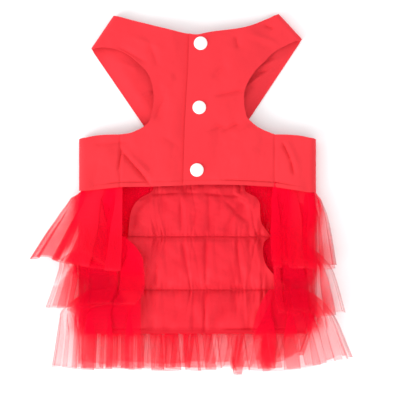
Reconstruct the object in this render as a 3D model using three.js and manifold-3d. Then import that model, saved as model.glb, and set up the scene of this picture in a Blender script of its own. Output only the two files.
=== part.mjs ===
// A small dog's party dress, lying flat on its back with the snap front upwards.
// X runs across the dress, Y from the skirt hem to the neck and Z up from the table, in millimetres.
import * as THREE from 'three';
import { mergeVertices } from 'three/addons/utils/BufferGeometryUtils.js';
import Module from 'manifold-3d';

const wasm = await Module();
wasm.setup();

// Cloth.
const bodiceCloth = 1.4;
const liningCloth = 1.0;
const tulleCloth = 1.0;
const clearance = 0.3;

// Bodice, lying flat.
const chestWidth = 219;
const bodiceLength = 161;
const sideLength = 44.7;
const seamInset = 38.5;
const frontHeight = 13;
const shoulderHeight = 8;
const shoulderSlope = 60;
const seamLip = 2;
const wrapReach = 14;
const hemDrop = 2.5;
const seamStep = 0.06;
const seamRise = 4.5;
const seamHem = 1;
const flapOverlap = 24;
const flapStep = 14;

// Snap fasteners.
const capDiameter = 12.4;
const capHeight = 1.9;
const capEdge = 0.7;
const postDiameter = 3.2;
const postHole = 4;
const studDiameter = 11;
const studHeight = 1.6;

// Skirt: the lining's three tiers and the ruffle that hangs from the top of each.
const tierLength = 44.3;
const middleTierLength = 48;
const lowerTierLength = 40.5;
const tuckIn = 5;
const tierGap = 0.6;
const ruffleLength = 77;

const halfChest = chestWidth / 2;
const seamX = halfChest - seamInset;
const seamTop = sideLength + seamRise;
const overlapDrop = bodiceCloth + clearance;

const colours = {
  bodice: { color: 0xf0323c, roughness: 0.75, metalness: 0 },
  lining: { color: 0xe82838, roughness: 0.5, metalness: 0 },
  tulle: { color: 0xe0142c, roughness: 0.85, metalness: 0 },
  snap: { color: 0xf7f7f5, roughness: 0.3, metalness: 0 },
};

function lerp(a, b, t) {
  return a + (b - a) * t;
}

function smooth(t) {
  const s = Math.min(1, Math.max(0, t));
  return s * s * (3 - 2 * s);
}

// Unit normal of a grid of points at row j, column i.
function gridNormal(rows, j, i) {
  const along = rows[j][Math.min(i + 1, rows[j].length - 1)].clone().sub(rows[j][Math.max(i - 1, 0)]);
  const across = rows[Math.min(j + 1, rows.length - 1)][i].clone().sub(rows[Math.max(j - 1, 0)][i]);
  return along.cross(across).normalize();
}

// Closed sheet of even thickness on a grid of middle-surface points.
function sheetGeometry(rows, thickness) {
  const height = rows.length;
  const width = rows[0].length;
  const layers = [0.5, -0.5].map((side) => rows.flatMap((row, j) => row.map(
    (point, i) => point.clone().addScaledVector(gridNormal(rows, j, i), side * thickness),
  )));
  const positions = layers.flat().flatMap((point) => [point.x, point.y, point.z]);
  const upper = (j, i) => j * width + i;
  const lower = (j, i) => height * width + j * width + i;
  const faces = [];
  const quad = (a, b, c, d) => faces.push(a, b, c, a, c, d);
  for (let j = 0; j < height - 1; j += 1) {
    for (let i = 0; i < width - 1; i += 1) {
      quad(upper(j, i), upper(j, i + 1), upper(j + 1, i + 1), upper(j + 1, i));
      quad(lower(j, i), lower(j + 1, i), lower(j + 1, i + 1), lower(j, i + 1));
    }
    quad(upper(j, 0), upper(j + 1, 0), lower(j + 1, 0), lower(j, 0));
    quad(upper(j + 1, width - 1), upper(j, width - 1), lower(j, width - 1), lower(j + 1, width - 1));
  }
  for (let i = 0; i < width - 1; i += 1) {
    quad(upper(0, i + 1), upper(0, i), lower(0, i), lower(0, i + 1));
    quad(upper(height - 1, i), upper(height - 1, i + 1), lower(height - 1, i + 1), lower(height - 1, i));
  }
  const geometry = new THREE.BufferGeometry();
  geometry.setAttribute('position', new THREE.Float32BufferAttribute(positions, 3));
  geometry.setIndex(faces);
  return geometry;
}

function toManifold(geometry) {
  const bare = geometry.clone();
  bare.deleteAttribute('normal');
  bare.deleteAttribute('uv');
  const merged = mergeVertices(bare, 1e-4);
  const solid = new wasm.Manifold(new wasm.Mesh({
    numProp: 3,
    vertProperties: Float32Array.from(merged.attributes.position.array),
    triVerts: Uint32Array.from(merged.index.array),
  }));
  return solid;
}

function fromManifold(solid) {
  const mesh = solid.getMesh();
  const geometry = new THREE.BufferGeometry();
  geometry.setAttribute('position', new THREE.BufferAttribute(mesh.vertProperties, 3));
  geometry.setIndex(new THREE.BufferAttribute(mesh.triVerts, 1));
  return geometry;
}

function uprightCylinder(diameter, low, high, x, y, sides) {
  const geometry = new THREE.CylinderGeometry(diameter / 2, diameter / 2, high - low, sides);
  geometry.rotateX(Math.PI / 2);
  geometry.translate(x, y, (low + high) / 2);
  return geometry;
}

const dress = new THREE.Group();

function addMesh(name, geometry, finish) {
  const mesh = new THREE.Mesh(geometry, new THREE.MeshStandardMaterial(finish));
  mesh.name = name;
  dress.add(mesh);
}

// Shoulder folds, as shares of half the chest (x) and of the bodice's length (y).
const shoulderFolds = {
  left: { side: -1, outerX: -0.9, outerY: 0.8, topX: -0.71, topY: 0.99 },
  right: { side: 1, outerX: 0.884, outerY: 0.855, topX: 0.687, topY: 1 },
};

function foldLine(fold) {
  const outer = new THREE.Vector2(fold.outerX * halfChest, fold.outerY * bodiceLength);
  const top = new THREE.Vector2(fold.topX * halfChest, fold.topY * bodiceLength);
  const along = top.clone().sub(outer).normalize();
  const inward = new THREE.Vector2(-fold.side * along.y, fold.side * along.x);
  return { outer, top, inward };
}

const foldRadius = (shoulderHeight - seamStep - bodiceCloth / 2) / 2;
const foldInset = foldRadius + bodiceCloth / 2;
const sideRadius = (frontHeight - seamStep - bodiceCloth / 2) / 2;

// Soft folds pressed into the front: a ridge or dent along a short line.
// x, length and width are shares of half the chest, y of the bodice's length and depth of the front's
// height. angle is in degrees.
const frontFolds = [
  { x: -0.58, y: 0.2, angle: -55, length: 0.311, width: 0.046, depth: -0.085 },
  { x: -0.5, y: 0.17, angle: 12, length: 0.311, width: 0.046, depth: 0.069 },
  { x: 0.8, y: 0.2, angle: -70, length: 0.274, width: 0.046, depth: -0.092 },
  { x: 0.52, y: 0.22, angle: 20, length: 0.365, width: 0.055, depth: 0.069 },
  { x: -0.25, y: 0.42, angle: 65, length: 0.311, width: 0.055, depth: -0.077 },
  { x: -0.33, y: 0.62, angle: 80, length: 0.365, width: 0.055, depth: 0.077 },
  { x: 0.3, y: 0.5, angle: 100, length: 0.402, width: 0.064, depth: -0.077 },
  { x: -0.45, y: 0.84, angle: 35, length: 0.329, width: 0.055, depth: -0.077 },
  { x: 0.42, y: 0.84, angle: 140, length: 0.365, width: 0.055, depth: -0.077 },
  { x: 0.62, y: 0.9, angle: 135, length: 0.237, width: 0.046, depth: 0.062 },
];

function foldRelief(x, y) {
  let z = 0;
  for (const fold of frontFolds) {
    const dx = x - fold.x * halfChest;
    const dy = y - fold.y * bodiceLength;
    const turn = THREE.MathUtils.degToRad(fold.angle);
    const along = dx * Math.cos(turn) + dy * Math.sin(turn);
    const off = dy * Math.cos(turn) - dx * Math.sin(turn);
    const across = off / (fold.width * halfChest);
    const reach = 2 * along / (fold.length * halfChest);
    z += fold.depth * frontHeight * Math.exp(-(across ** 2) - reach ** 2);
  }
  return z * smooth((Math.abs(x) - flapOverlap) / flapStep) * smooth((y - tuckIn) / flapStep);
}

// Middle surface of the front: level over the chest, falling to the shoulder folds.
function frontLevel(x, y) {
  let level = frontHeight;
  for (const fold of Object.values(shoulderFolds)) {
    const { outer, inward } = foldLine(fold);
    const reach = new THREE.Vector2(x, y).sub(outer).dot(inward) - foldInset - seamLip;
    level = Math.min(level, lerp(shoulderHeight, frontHeight, smooth(reach / shoulderSlope)));
  }
  return level;
}

// Front panels, from the waist to the shoulder. Outer is the side seam and then the armhole, inner is
// the button edge and then the neckline. seamY is a share of the side seam's height, and the others
// are shares of half the chest or of the bodice's length.
const leftSections = [
  { seamY: 0, innerX: 0.091, innerY: 0.019 },
  { seamY: 0.33, innerX: 0.094, innerY: 0.124 },
  { seamY: 0.7, innerX: 0.097, innerY: 0.236 },
  { seamY: 1, innerX: 0.1, innerY: 0.335 },
  { outerX: -0.533, outerY: 0.322, innerX: 0.102, innerY: 0.42 },
  { outerX: -0.411, outerY: 0.375, innerX: 0.105, innerY: 0.5 },
  { outerX: -0.376, outerY: 0.457, innerX: 0.107, innerY: 0.58 },
  { outerX: -0.368, outerY: 0.514, innerX: 0.11, innerY: 0.66 },
  { outerX: -0.383, outerY: 0.596, innerX: 0.112, innerY: 0.74 },
  { outerX: -0.428, outerY: 0.666, innerX: 0.115, innerY: 0.81 },
  { outerX: -0.533, outerY: 0.737, innerX: 0.117, innerY: 0.879 },
  { outerX: -0.593, outerY: 0.768, innerX: -0.077, innerY: 0.882 },
  { outerX: -0.66, outerY: 0.79, innerX: -0.315, innerY: 0.92 },
  { outerX: -0.777, outerY: 0.806, innerX: -0.5, innerY: 0.953 },
  { outerX: -0.9, outerY: 0.8, innerX: -0.71, innerY: 0.99 },
];

const rightSections = [
  { seamY: 0, innerX: -0.12, innerY: 0.02 },
  { seamY: 0.33, innerX: -0.117, innerY: 0.124 },
  { seamY: 0.7, innerX: -0.113, innerY: 0.236 },
  { seamY: 1, innerX: -0.108, innerY: 0.335 },
  { outerX: 0.515, outerY: 0.345, innerX: -0.102, innerY: 0.42 },
  { outerX: 0.425, outerY: 0.397, innerX: -0.096, innerY: 0.5 },
  { outerX: 0.403, outerY: 0.435, innerX: -0.088, innerY: 0.58 },
  { outerX: 0.391, outerY: 0.491, innerX: -0.08, innerY: 0.66 },
  { outerX: 0.403, outerY: 0.573, innerX: -0.076, innerY: 0.74 },
  { outerX: 0.48, outerY: 0.666, innerX: -0.073, innerY: 0.81 },
  { outerX: 0.567, outerY: 0.725, innerX: -0.07, innerY: 0.88 },
  { outerX: 0.66, outerY: 0.785, innerX: 0.1, innerY: 0.893 },
  { outerX: 0.74, outerY: 0.815, innerX: 0.394, innerY: 0.92 },
  { outerX: 0.81, outerY: 0.838, innerX: 0.567, innerY: 0.963 },
  { outerX: 0.884, outerY: 0.855, innerX: 0.687, innerY: 1 },
];

const frontColumns = 10;

// Edge points of one section in millimetres. The last one stops short of the shoulder fold.
function sectionEnds(section, fold, last) {
  const outer = section.seamY === undefined
    ? new THREE.Vector2(section.outerX * halfChest, section.outerY * bodiceLength)
    : new THREE.Vector2(fold.side * (seamX - clearance), lerp(seamHem, seamTop, section.seamY));
  const ends = [outer, new THREE.Vector2(section.innerX * halfChest, section.innerY * bodiceLength)];
  if (last) {
    const { inward } = foldLine(fold);
    ends.forEach((end) => end.addScaledVector(inward, foldInset + seamLip + clearance));
  }
  return ends;
}

function frontPanel(sections, fold, underFlap) {
  const rows = sections.map((section, j) => {
    const [outer, inner] = sectionEnds(section, fold, j === sections.length - 1);
    return Array.from({ length: frontColumns + 1 }, (_, i) => {
      const point = outer.clone().lerp(inner, i / frontColumns);
      const z = frontLevel(point.x, point.y) + foldRelief(point.x, point.y);
      const tucked = underFlap ? smooth((point.x + flapOverlap + flapStep / 2) / flapStep) : 0;
      return new THREE.Vector3(point.x, point.y, z - tucked * overlapDrop);
    });
  });
  return sheetGeometry(rows, bodiceCloth);
}

// Back panel: a flat back, two sides wrapped round to the side seams and two shoulder folds. Each
// armhole's lower curve bends round one point and ends at the next, as shares of half the chest and of
// the bodice's length. So does the neckline, which is level at the centre back.
const armholeBends = {
  left: { bendX: -0.52, bendY: 0.29, endX: -0.448, endY: 0.363 },
  right: { bendX: 0.5, bendY: 0.29, endX: 0.425, endY: 0.397 },
};
const backNeck = { levelX: 0.3, levelY: 0.56, bendX: 0.42, bendY: 0.72 };

function backOutline() {
  const left = foldLine(shoulderFolds.left);
  const right = foldLine(shoulderFolds.right);
  const inner = halfChest - sideRadius - bodiceCloth / 2;
  const strapEnd = (point, { inward }) => point.clone().addScaledVector(inward, foldInset);
  const leftOuter = strapEnd(left.outer, left);
  const leftTop = strapEnd(left.top, left);
  const rightOuter = strapEnd(right.outer, right);
  const rightTop = strapEnd(right.top, right);
  const place = (x, y) => [x * halfChest, y * bodiceLength];
  const { levelX, levelY } = backNeck;
  const shape = new THREE.Shape();
  shape.moveTo(-inner, -hemDrop);
  shape.lineTo(inner, -hemDrop);
  shape.lineTo(inner, sideLength);
  shape.quadraticCurveTo(
    ...place(armholeBends.right.bendX, armholeBends.right.bendY),
    ...place(armholeBends.right.endX, armholeBends.right.endY),
  );
  shape.lineTo(rightOuter.x, rightOuter.y);
  shape.lineTo(rightTop.x, rightTop.y);
  shape.bezierCurveTo(
    ...place(backNeck.bendX, backNeck.bendY),
    ...place(levelX, levelY),
    ...place(0, levelY),
  );
  shape.bezierCurveTo(
    ...place(-levelX, levelY),
    ...place(-backNeck.bendX, backNeck.bendY),
    leftTop.x,
    leftTop.y,
  );
  shape.lineTo(leftOuter.x, leftOuter.y);
  shape.lineTo(...place(armholeBends.left.endX, armholeBends.left.endY));
  shape.quadraticCurveTo(...place(armholeBends.left.bendX, armholeBends.left.bendY), -inner, sideLength);
  shape.closePath();
  return shape;
}

// Points of a fold's section, from the back round to the front, each { out, z }. out is how far the
// middle surface stands in from the fold's outside. The fold lies a small step above the flat back.
function foldSection(radius, reachBack, reachFront, steps) {
  const inset = radius + bodiceCloth / 2;
  const base = bodiceCloth / 2 + seamStep;
  const points = [{ out: inset + reachBack, z: base }];
  for (let k = 0; k <= steps; k += 1) {
    const turn = Math.PI * (k / steps);
    points.push({ out: inset - radius * Math.sin(turn), z: base + radius * (1 - Math.cos(turn)) });
  }
  points.push({ out: inset + reachFront, z: base + 2 * radius });
  return points;
}

const foldSteps = 10;

function sideWrap(side) {
  const inset = sideRadius + bodiceCloth / 2;
  const section = foldSection(sideRadius, wrapReach, seamInset - inset, foldSteps);
  const heights = [0, 0.34, 0.67, 1];
  const rows = heights.map((share) => section.map(({ out, z }) => {
    const onFront = z > frontHeight - bodiceCloth / 2;
    const toSeam = onFront ? Math.max(0, (out - inset) / (seamInset - inset)) : 0;
    const hem = lerp(-hemDrop, seamHem, toSeam);
    const top = lerp(sideLength, seamTop, toSeam);
    return new THREE.Vector3(side * (halfChest - out), lerp(hem, top, share), z);
  }));
  return sheetGeometry(side > 0 ? rows : rows.reverse(), bodiceCloth);
}

function shoulderCurl(fold) {
  const { outer, top, inward } = foldLine(fold);
  const section = foldSection(foldRadius, wrapReach / 3, seamLip, foldSteps - 2);
  const ends = fold.side > 0 ? [outer, top] : [top, outer];
  const rows = ends.map((end) => section.map(({ out, z }) => {
    const point = end.clone().addScaledVector(inward, out);
    return new THREE.Vector3(point.x, point.y, z);
  }));
  return sheetGeometry(rows, bodiceCloth);
}

function backPanel() {
  const plate = new THREE.ExtrudeGeometry(backOutline(), {
    depth: bodiceCloth, bevelEnabled: false, curveSegments: 10,
  });
  const curls = Object.values(shoulderFolds).map(shoulderCurl);
  const extras = [sideWrap(-1), sideWrap(1), ...curls];
  return extras.reduce((solid, extra) => solid.add(toManifold(extra)), toManifold(plate));
}

// Snaps down the front, as shares of half the chest and of the bodice's length.
const snaps = [
  { name: 'upper', x: 0.026, y: 0.826 },
  { name: 'middle', x: 0.015, y: 0.46 },
  { name: 'lower', x: -0.005, y: 0.103 },
];
const flapTop = frontHeight + bodiceCloth / 2;
const underTop = flapTop - overlapDrop;
const meeting = underTop + clearance / 2;

// Visible cap with the post that goes through the flap.
function snapCap(x, y) {
  const seat = flapTop + clearance;
  const radius = capDiameter / 2;
  const dome = [1, 0.75, 0.45, 0].map((share) => new THREE.Vector2(
    radius * share,
    seat + capEdge + (capHeight - capEdge) * (1 - share * share),
  ));
  const profile = [
    new THREE.Vector2(0, meeting + clearance / 2),
    new THREE.Vector2(postDiameter / 2, meeting + clearance / 2),
    new THREE.Vector2(postDiameter / 2, seat),
    new THREE.Vector2(radius, seat),
    ...dome,
  ];
  const geometry = new THREE.LatheGeometry(profile, 16);
  geometry.rotateX(Math.PI / 2);
  geometry.translate(x, y, 0);
  return geometry;
}

// Plain hidden stud under the lower flap, with its post up to the cap's.
function snapStud(x, y) {
  const seat = underTop - bodiceCloth - clearance;
  const profile = [
    new THREE.Vector2(0, seat - studHeight),
    new THREE.Vector2(studDiameter / 2, seat - studHeight),
    new THREE.Vector2(studDiameter / 2, seat),
    new THREE.Vector2(postDiameter / 2, seat),
    new THREE.Vector2(postDiameter / 2, meeting - clearance / 2),
    new THREE.Vector2(0, meeting - clearance / 2),
  ];
  const geometry = new THREE.LatheGeometry(profile, 12);
  geometry.rotateX(Math.PI / 2);
  geometry.translate(x, y, 0);
  return geometry;
}

function withPostHoles(geometry) {
  return snaps.reduce((solid, snap) => solid.subtract(toManifold(
    uprightCylinder(postHole, 0, frontHeight * 2, snap.x * halfChest, snap.y * bodiceLength, 12),
  )), toManifold(geometry));
}

// Lining: three flat tiers, widening to the hem. at is a share of the tier from its top, left and right
// are shares of half the chest, and level is the middle surface's height as a share of the front's.
const liningTop = (bodiceCloth + 2 * clearance + tulleCloth + liningCloth / 2) / frontHeight;
const upperTier = [
  { at: 0, left: 0.384, right: 0.41, level: liningTop },
  { at: 0.17, left: 0.4, right: 0.45, level: liningTop },
  { at: 0.34, left: 0.53, right: 0.56, level: 0.3769 },
  { at: 0.66, left: 0.575, right: 0.58, level: 0.4385 },
  { at: 1, left: 0.585, right: 0.62, level: 0.5231 },
];
const middleTier = [
  { at: 0, left: 0.585, right: 0.62, level: 0.5231 },
  { at: 0.2, left: 0.61, right: 0.64, level: 0.7154 },
  { at: 0.64, left: 0.7, right: 0.7, level: 0.8769 },
  { at: 1, left: 0.78, right: 0.78, level: 0.6 },
];
const lowerTier = [
  { at: 0, left: 0.78, right: 0.78, level: 0.6 },
  { at: 0.3, left: 0.83, right: 0.84, level: 0.8154 },
  { at: 0.7, left: 0.9, right: 0.9, level: 0.8923 },
  { at: 1, left: 0.925, right: 0.912, level: 0.7231 },
];

// Creases that run down each tier: x and width are shares of half the chest, depth of the front's height.
const liningCreases = {
  upper: [
    { x: -0.14, width: 0.037, depth: 0.054 }, { x: 0.1, width: 0.037, depth: 0.054 },
    { x: 0.36, width: 0.055, depth: 0.069 },
  ],
  middle: [
    { x: -0.36, width: 0.037, depth: 0.062 }, { x: -0.1, width: 0.046, depth: 0.054 },
    { x: 0.07, width: 0.037, depth: 0.062 }, { x: 0.35, width: 0.046, depth: 0.069 },
  ],
  lower: [
    { x: -0.3, width: 0.055, depth: 0.046 }, { x: 0.06, width: 0.037, depth: 0.1 },
    { x: 0.3, width: 0.055, depth: 0.046 },
  ],
};
const liningColumns = 28;

function liningTier(tier, creases, top, length) {
  const rows = tier.map((station) => Array.from({ length: liningColumns + 1 }, (_, i) => {
    const x = halfChest * lerp(-station.left, station.right, i / liningColumns);
    const raised = creases.reduce((sum, crease) => sum
      + crease.depth * Math.exp(-(((x / halfChest - crease.x) / crease.width) ** 2)), 0);
    const loose = Math.sin(Math.PI * station.at) ** 0.5;
    const z = (station.level + raised * loose) * frontHeight;
    return new THREE.Vector3(x, top - station.at * length, z);
  }));
  return sheetGeometry(rows, liningCloth);
}

// Ruffles: each runs from its front edge round the left fold, across the back, round the right fold
// and to the other front edge. spread is the share of the flare reached by the folds. left and
// right are the front edges' places and, as the flares, shares of half the chest. lengths are shares of
// the ruffle's length. As shares of the front's height, low and high are the heights of the back and
// front layers, nose is how deep the round of the fold is and wave the height of the gathers.
const waistFold = halfChest - bodiceCloth - clearance - tulleCloth / 2;
const waistLow = (bodiceCloth + clearance + tulleCloth / 2) / frontHeight;
const waistHigh = 1 - (bodiceCloth / 2 + clearance + tulleCloth / 2) / frontHeight;
const waistNose = (waistHigh - waistLow) / 2;
const upperRuffle = {
  top: tuckIn, start: waistFold, leftFlare: 0.4082, rightFlare: 0.1689, waves: 22,
  lengths: { leftEdge: 1.039, leftFold: 0.865, back: 1, rightFold: 0.987, rightEdge: 0.987 },
  rows: [
    { at: 0, spread: 0, left: 0.63, right: 0.63, low: waistLow, high: waistHigh, nose: waistNose, wave: 0 },
    { at: 0.13, spread: 0, left: 0.63, right: 0.63, low: waistLow, high: waistHigh, nose: waistNose, wave: 0 },
    { at: 0.24, spread: 0.3, left: 0.63, right: 0.62, low: 0.162, high: 1.015, nose: 0.692, wave: 0.092 },
    { at: 0.6, spread: 0.73, left: 0.63, right: 0.61, low: 0.169, high: 1.4, nose: 1.077, wave: 0.115 },
    { at: 1, spread: 1, left: 0.64, right: 0.62, low: 0.208, high: 1.769, nose: 1.231, wave: 0.169 },
  ],
};
const middleRuffle = {
  top: -tierLength - tierGap / 2, start: halfChest * 0.78, leftFlare: 0.4749, rightFlare: 0.4429, waves: 22,
  lengths: { leftEdge: 0.857, leftFold: 0.866, back: 0.979, rightFold: 0.922, rightEdge: 0.883 },
  rows: [
    { at: 0, spread: 0, left: 0.61, right: 0.62, low: 0.408, high: 1.015, nose: 0.308, wave: 0 },
    { at: 0.14, spread: 0.4, left: 0.52, right: 0.63, low: 0.538, high: 1.2, nose: 0.538, wave: 0.077 },
    { at: 0.42, spread: 0.73, left: 0.45, right: 0.635, low: 0.638, high: 1.385, nose: 0.615, wave: 0.115 },
    { at: 0.64, spread: 0.86, left: 0.44, right: 0.64, low: 0.231, high: 1.369, nose: 0.923, wave: 0.139 },
    { at: 1, spread: 1, left: 0.52, right: 0.67, low: 0.215, high: 1.846, nose: 1.231, wave: 0.169 },
  ],
};
const lowerRuffle = {
  top: -tierLength - middleTierLength - 1.5 * tierGap, start: halfChest * 0.915,
  leftFlare: 0.3032, rightFlare: 0.3744, waves: 24,
  lengths: { leftEdge: 0.974, leftFold: 0.922, back: 0.974, rightFold: 0.81, rightEdge: 0.948 },
  rows: [
    { at: 0, spread: 0, left: 0.475, right: 0.6, low: 0.477, high: 1.054, nose: 0.292, wave: 0 },
    { at: 0.16, spread: 0.42, left: 0.475, right: 0.54, low: 0.608, high: 1.262, nose: 0.462, wave: 0.092 },
    { at: 0.38, spread: 0.7, left: 0.475, right: 0.48, low: 0.661, high: 1.4, nose: 0.538, wave: 0.115 },
    { at: 0.66, spread: 0.85, left: 0.475, right: 0.44, low: 0.223, high: 1.154, nose: 0.769, wave: 0.146 },
    { at: 1, spread: 1, left: 0.475, right: 0.4, low: 0.231, high: 1.077, nose: 0.923, wave: 0.185 },
  ],
};

const layout = { front: 12, nose: 10, back: 44 };

// Columns of a ruffle: where each lies on its path and the share of the way round.
function ruffleColumns() {
  const parts = [
    { part: 'leftFront', count: layout.front },
    { part: 'leftNose', count: layout.nose },
    { part: 'back', count: layout.back },
    { part: 'rightNose', count: layout.nose },
    { part: 'rightFront', count: layout.front },
  ];
  const total = parts.reduce((sum, { count }) => sum + count, 0);
  const columns = [];
  for (const { part, count } of parts) {
    for (let k = 0; k < count; k += 1) columns.push({ part, share: k / count });
  }
  columns.push({ part: 'rightFront', share: 1 });
  return columns.map((entry, i) => ({ ...entry, around: i / total }));
}

// Middle-surface point, gather direction and gather strength of a column on one section.
function rufflePoint(row, spec, { part, share }) {
  const leftFold = spec.start + row.spread * spec.leftFlare * halfChest;
  const rightFold = spec.start + row.spread * spec.rightFlare * halfChest;
  const [low, high, nose] = [row.low, row.high, row.nose].map((value) => value * frontHeight);
  const centre = (low + high) / 2;
  const half = (high - low) / 2;
  const round = (side, fold, turn) => ({
    x: side * (fold - nose + nose * Math.sin(turn)),
    z: centre - half * Math.cos(turn),
    push: new THREE.Vector2(side * Math.sin(turn), -Math.cos(turn)),
    strength: 0.35 + 0.65 * Math.abs(Math.cos(turn)),
  });
  const down = new THREE.Vector2(0, -1);
  const up = new THREE.Vector2(0, 1);
  switch (part) {
    case 'leftFront':
      return { x: lerp(-row.left * halfChest, nose - leftFold, share), z: high, push: up, strength: 1 };
    case 'leftNose':
      return round(-1, leftFold, Math.PI * (1 - share));
    case 'back':
      return { x: lerp(nose - leftFold, rightFold - nose, share), z: low, push: down, strength: 1 };
    case 'rightNose':
      return round(1, rightFold, Math.PI * share);
    default:
      return { x: lerp(rightFold - nose, row.right * halfChest, share), z: high, push: up, strength: 1 };
  }
}

// Share of the ruffle's length that a column has.
function columnLength({ part, share }, lengths) {
  const lift = Math.sin(Math.PI * share);
  switch (part) {
    case 'leftFront': return lerp(lengths.leftEdge, lengths.leftFold, share ** 3);
    case 'leftNose': return lengths.leftFold;
    case 'back': return lerp(lerp(lengths.leftFold, lengths.rightFold, share), lengths.back, lift ** 0.5);
    case 'rightNose': return lengths.rightFold;
    default: return lerp(lengths.rightFold, lengths.rightEdge, 1 - (1 - share) ** 3);
  }
}

function ruffle(spec) {
  const columns = ruffleColumns();
  const rows = spec.rows.map((row) => columns.map((entry) => {
    const { x, z, push, strength } = rufflePoint(row, spec, entry);
    const gather = row.wave * frontHeight * strength * Math.cos(2 * Math.PI * spec.waves * entry.around);
    const y = spec.top - row.at * ruffleLength * columnLength(entry, spec.lengths);
    return new THREE.Vector3(x + gather * push.x, y, z + gather * push.y);
  }));
  return sheetGeometry(rows, tulleCloth);
}

addMesh('back_panel', fromManifold(backPanel()), colours.bodice);
addMesh('front_left_panel', fromManifold(withPostHoles(
  frontPanel(leftSections, shoulderFolds.left, true),
)), colours.bodice);
addMesh('front_right_panel', fromManifold(withPostHoles(
  frontPanel(rightSections, shoulderFolds.right, false),
)), colours.bodice);
for (const snap of snaps) {
  const x = snap.x * halfChest;
  const y = snap.y * bodiceLength;
  addMesh(`snap_cap_${snap.name}`, snapCap(x, y), colours.snap);
  addMesh(`snap_stud_${snap.name}`, snapStud(x, y), colours.snap);
}
const secondSeam = -tierLength - tierGap;
const thirdSeam = secondSeam - middleTierLength - tierGap;
const liningTiers = [
  { name: 'upper', tier: upperTier, top: tuckIn, length: tuckIn + tierLength },
  { name: 'middle', tier: middleTier, top: secondSeam, length: middleTierLength },
  { name: 'lower', tier: lowerTier, top: thirdSeam, length: lowerTierLength },
];
for (const { name, tier, top, length } of liningTiers) {
  addMesh(`lining_${name}_tier`, liningTier(tier, liningCreases[name], top, length), colours.lining);
}
addMesh('ruffle_upper', ruffle(upperRuffle), colours.tulle);
addMesh('ruffle_middle', ruffle(middleRuffle), colours.tulle);
addMesh('ruffle_lower', ruffle(lowerRuffle), colours.tulle);

// The dress stands on the table, centred over the origin.
const box = new THREE.Box3().setFromObject(dress);
const centre = box.getCenter(new THREE.Vector3());
dress.position.set(-centre.x, -centre.y, -box.min.z);
dress.updateMatrixWorld(true);

export default dress;
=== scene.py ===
# %% [markdown]
# A small dog's party dress lies flat on a pale table: a snap-front cotton bodice above a tiered lining,
# with three gathered tulle ruffles that fold round the sides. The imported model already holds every
# piece at its real size. This lesson gives each of them its cloth, folds, stitches and net.

import bpy
import numpy as np
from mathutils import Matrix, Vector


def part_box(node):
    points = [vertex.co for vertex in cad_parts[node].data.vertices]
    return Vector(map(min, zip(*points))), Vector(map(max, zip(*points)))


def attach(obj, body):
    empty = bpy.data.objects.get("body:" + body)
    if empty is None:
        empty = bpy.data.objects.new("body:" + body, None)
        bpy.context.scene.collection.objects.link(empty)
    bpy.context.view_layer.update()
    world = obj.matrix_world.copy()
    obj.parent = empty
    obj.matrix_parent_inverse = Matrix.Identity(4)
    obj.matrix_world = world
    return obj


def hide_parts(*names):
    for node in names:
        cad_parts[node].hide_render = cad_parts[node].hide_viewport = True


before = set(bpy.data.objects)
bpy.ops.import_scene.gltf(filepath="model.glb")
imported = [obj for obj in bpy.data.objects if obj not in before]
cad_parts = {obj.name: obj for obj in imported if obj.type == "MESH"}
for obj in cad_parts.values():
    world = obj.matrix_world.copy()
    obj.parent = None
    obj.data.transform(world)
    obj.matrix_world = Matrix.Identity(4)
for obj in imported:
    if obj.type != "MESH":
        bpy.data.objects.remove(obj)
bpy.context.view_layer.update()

print("nodes:", sorted(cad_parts))


# %% [markdown]
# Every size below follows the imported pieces. The waist line and the middle of the chest are the two
# lines a dressmaker measures from, so they become the zero of a small coordinate system in millimetres:
# x across the dress, y from the waist to the neck, z up from the table.

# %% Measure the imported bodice
MM = 0.001
HEM_DROP = 2.5  # how far the back's hem hangs below the waist line
BODICE_CLOTH = 1.4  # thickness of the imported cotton

back_low, back_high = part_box("back_panel")
MIDDLE_X = (back_low.x + back_high.x) / 2
WAIST_Y = back_low.y + HEM_DROP * MM
HALF_CHEST = (back_high.x - back_low.x) / 2 / MM
BODICE_LENGTH = (back_high.y - WAIST_Y) / MM
FRONT_HEIGHT = back_high.z / MM - BODICE_CLOTH / 2
print("half chest", round(HALF_CHEST, 1), "mm, bodice", round(BODICE_LENGTH, 1), "mm")


# %% [markdown]
# A seller lays a garment flat and photographs it from straight above. A camera close by would show the
# sides leaning outwards. A long lens from further away keeps them upright, so the camera stands 1.6 m
# above the dress, and its lens is worked out from the width that the picture takes in.

# %% Set the camera
FRAME_WIDTH = 0.368
FRAMED_HEIGHT = 0.011  # the height above the table at which the picture is that wide
CAMERA_DISTANCE = 1.6
VIEW_CENTRE = (2.3, -11.0)  # millimetres from the middle of the waist
SENSOR_WIDTH = 36


def add_camera():
    camera = bpy.data.objects.new("camera", bpy.data.cameras.new("camera"))
    camera.data.sensor_width = SENSOR_WIDTH
    camera.data.lens = SENSOR_WIDTH * CAMERA_DISTANCE / FRAME_WIDTH
    camera.location = (MIDDLE_X + VIEW_CENTRE[0] * MM, WAIST_Y + VIEW_CENTRE[1] * MM,
                       FRAMED_HEIGHT + CAMERA_DISTANCE)
    bpy.context.scene.collection.objects.link(camera)
    bpy.context.scene.camera = camera
    print("lens", round(camera.data.lens), "mm")


add_camera()


# %% [markdown]
# The dress lies on a matt white table that runs out of the picture on every side, so one large square
# is enough. It is set a fifth of a millimetre low, so that table and cloth never share a surface. Its
# material is the first, so two helpers that all the others use are made here.

# %% Lay the table
TABLE_REACH = 3.0
TABLE_DROP = 0.0002


def fill(tree, node, inputs):
    """Sets a node's inputs by name, to a constant or to what another node puts out."""
    for name, value in inputs.items():
        if isinstance(value, bpy.types.NodeSocket):
            tree.links.new(value, node.inputs[name])
        else:
            node.inputs[name].default_value = value
    return node


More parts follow.
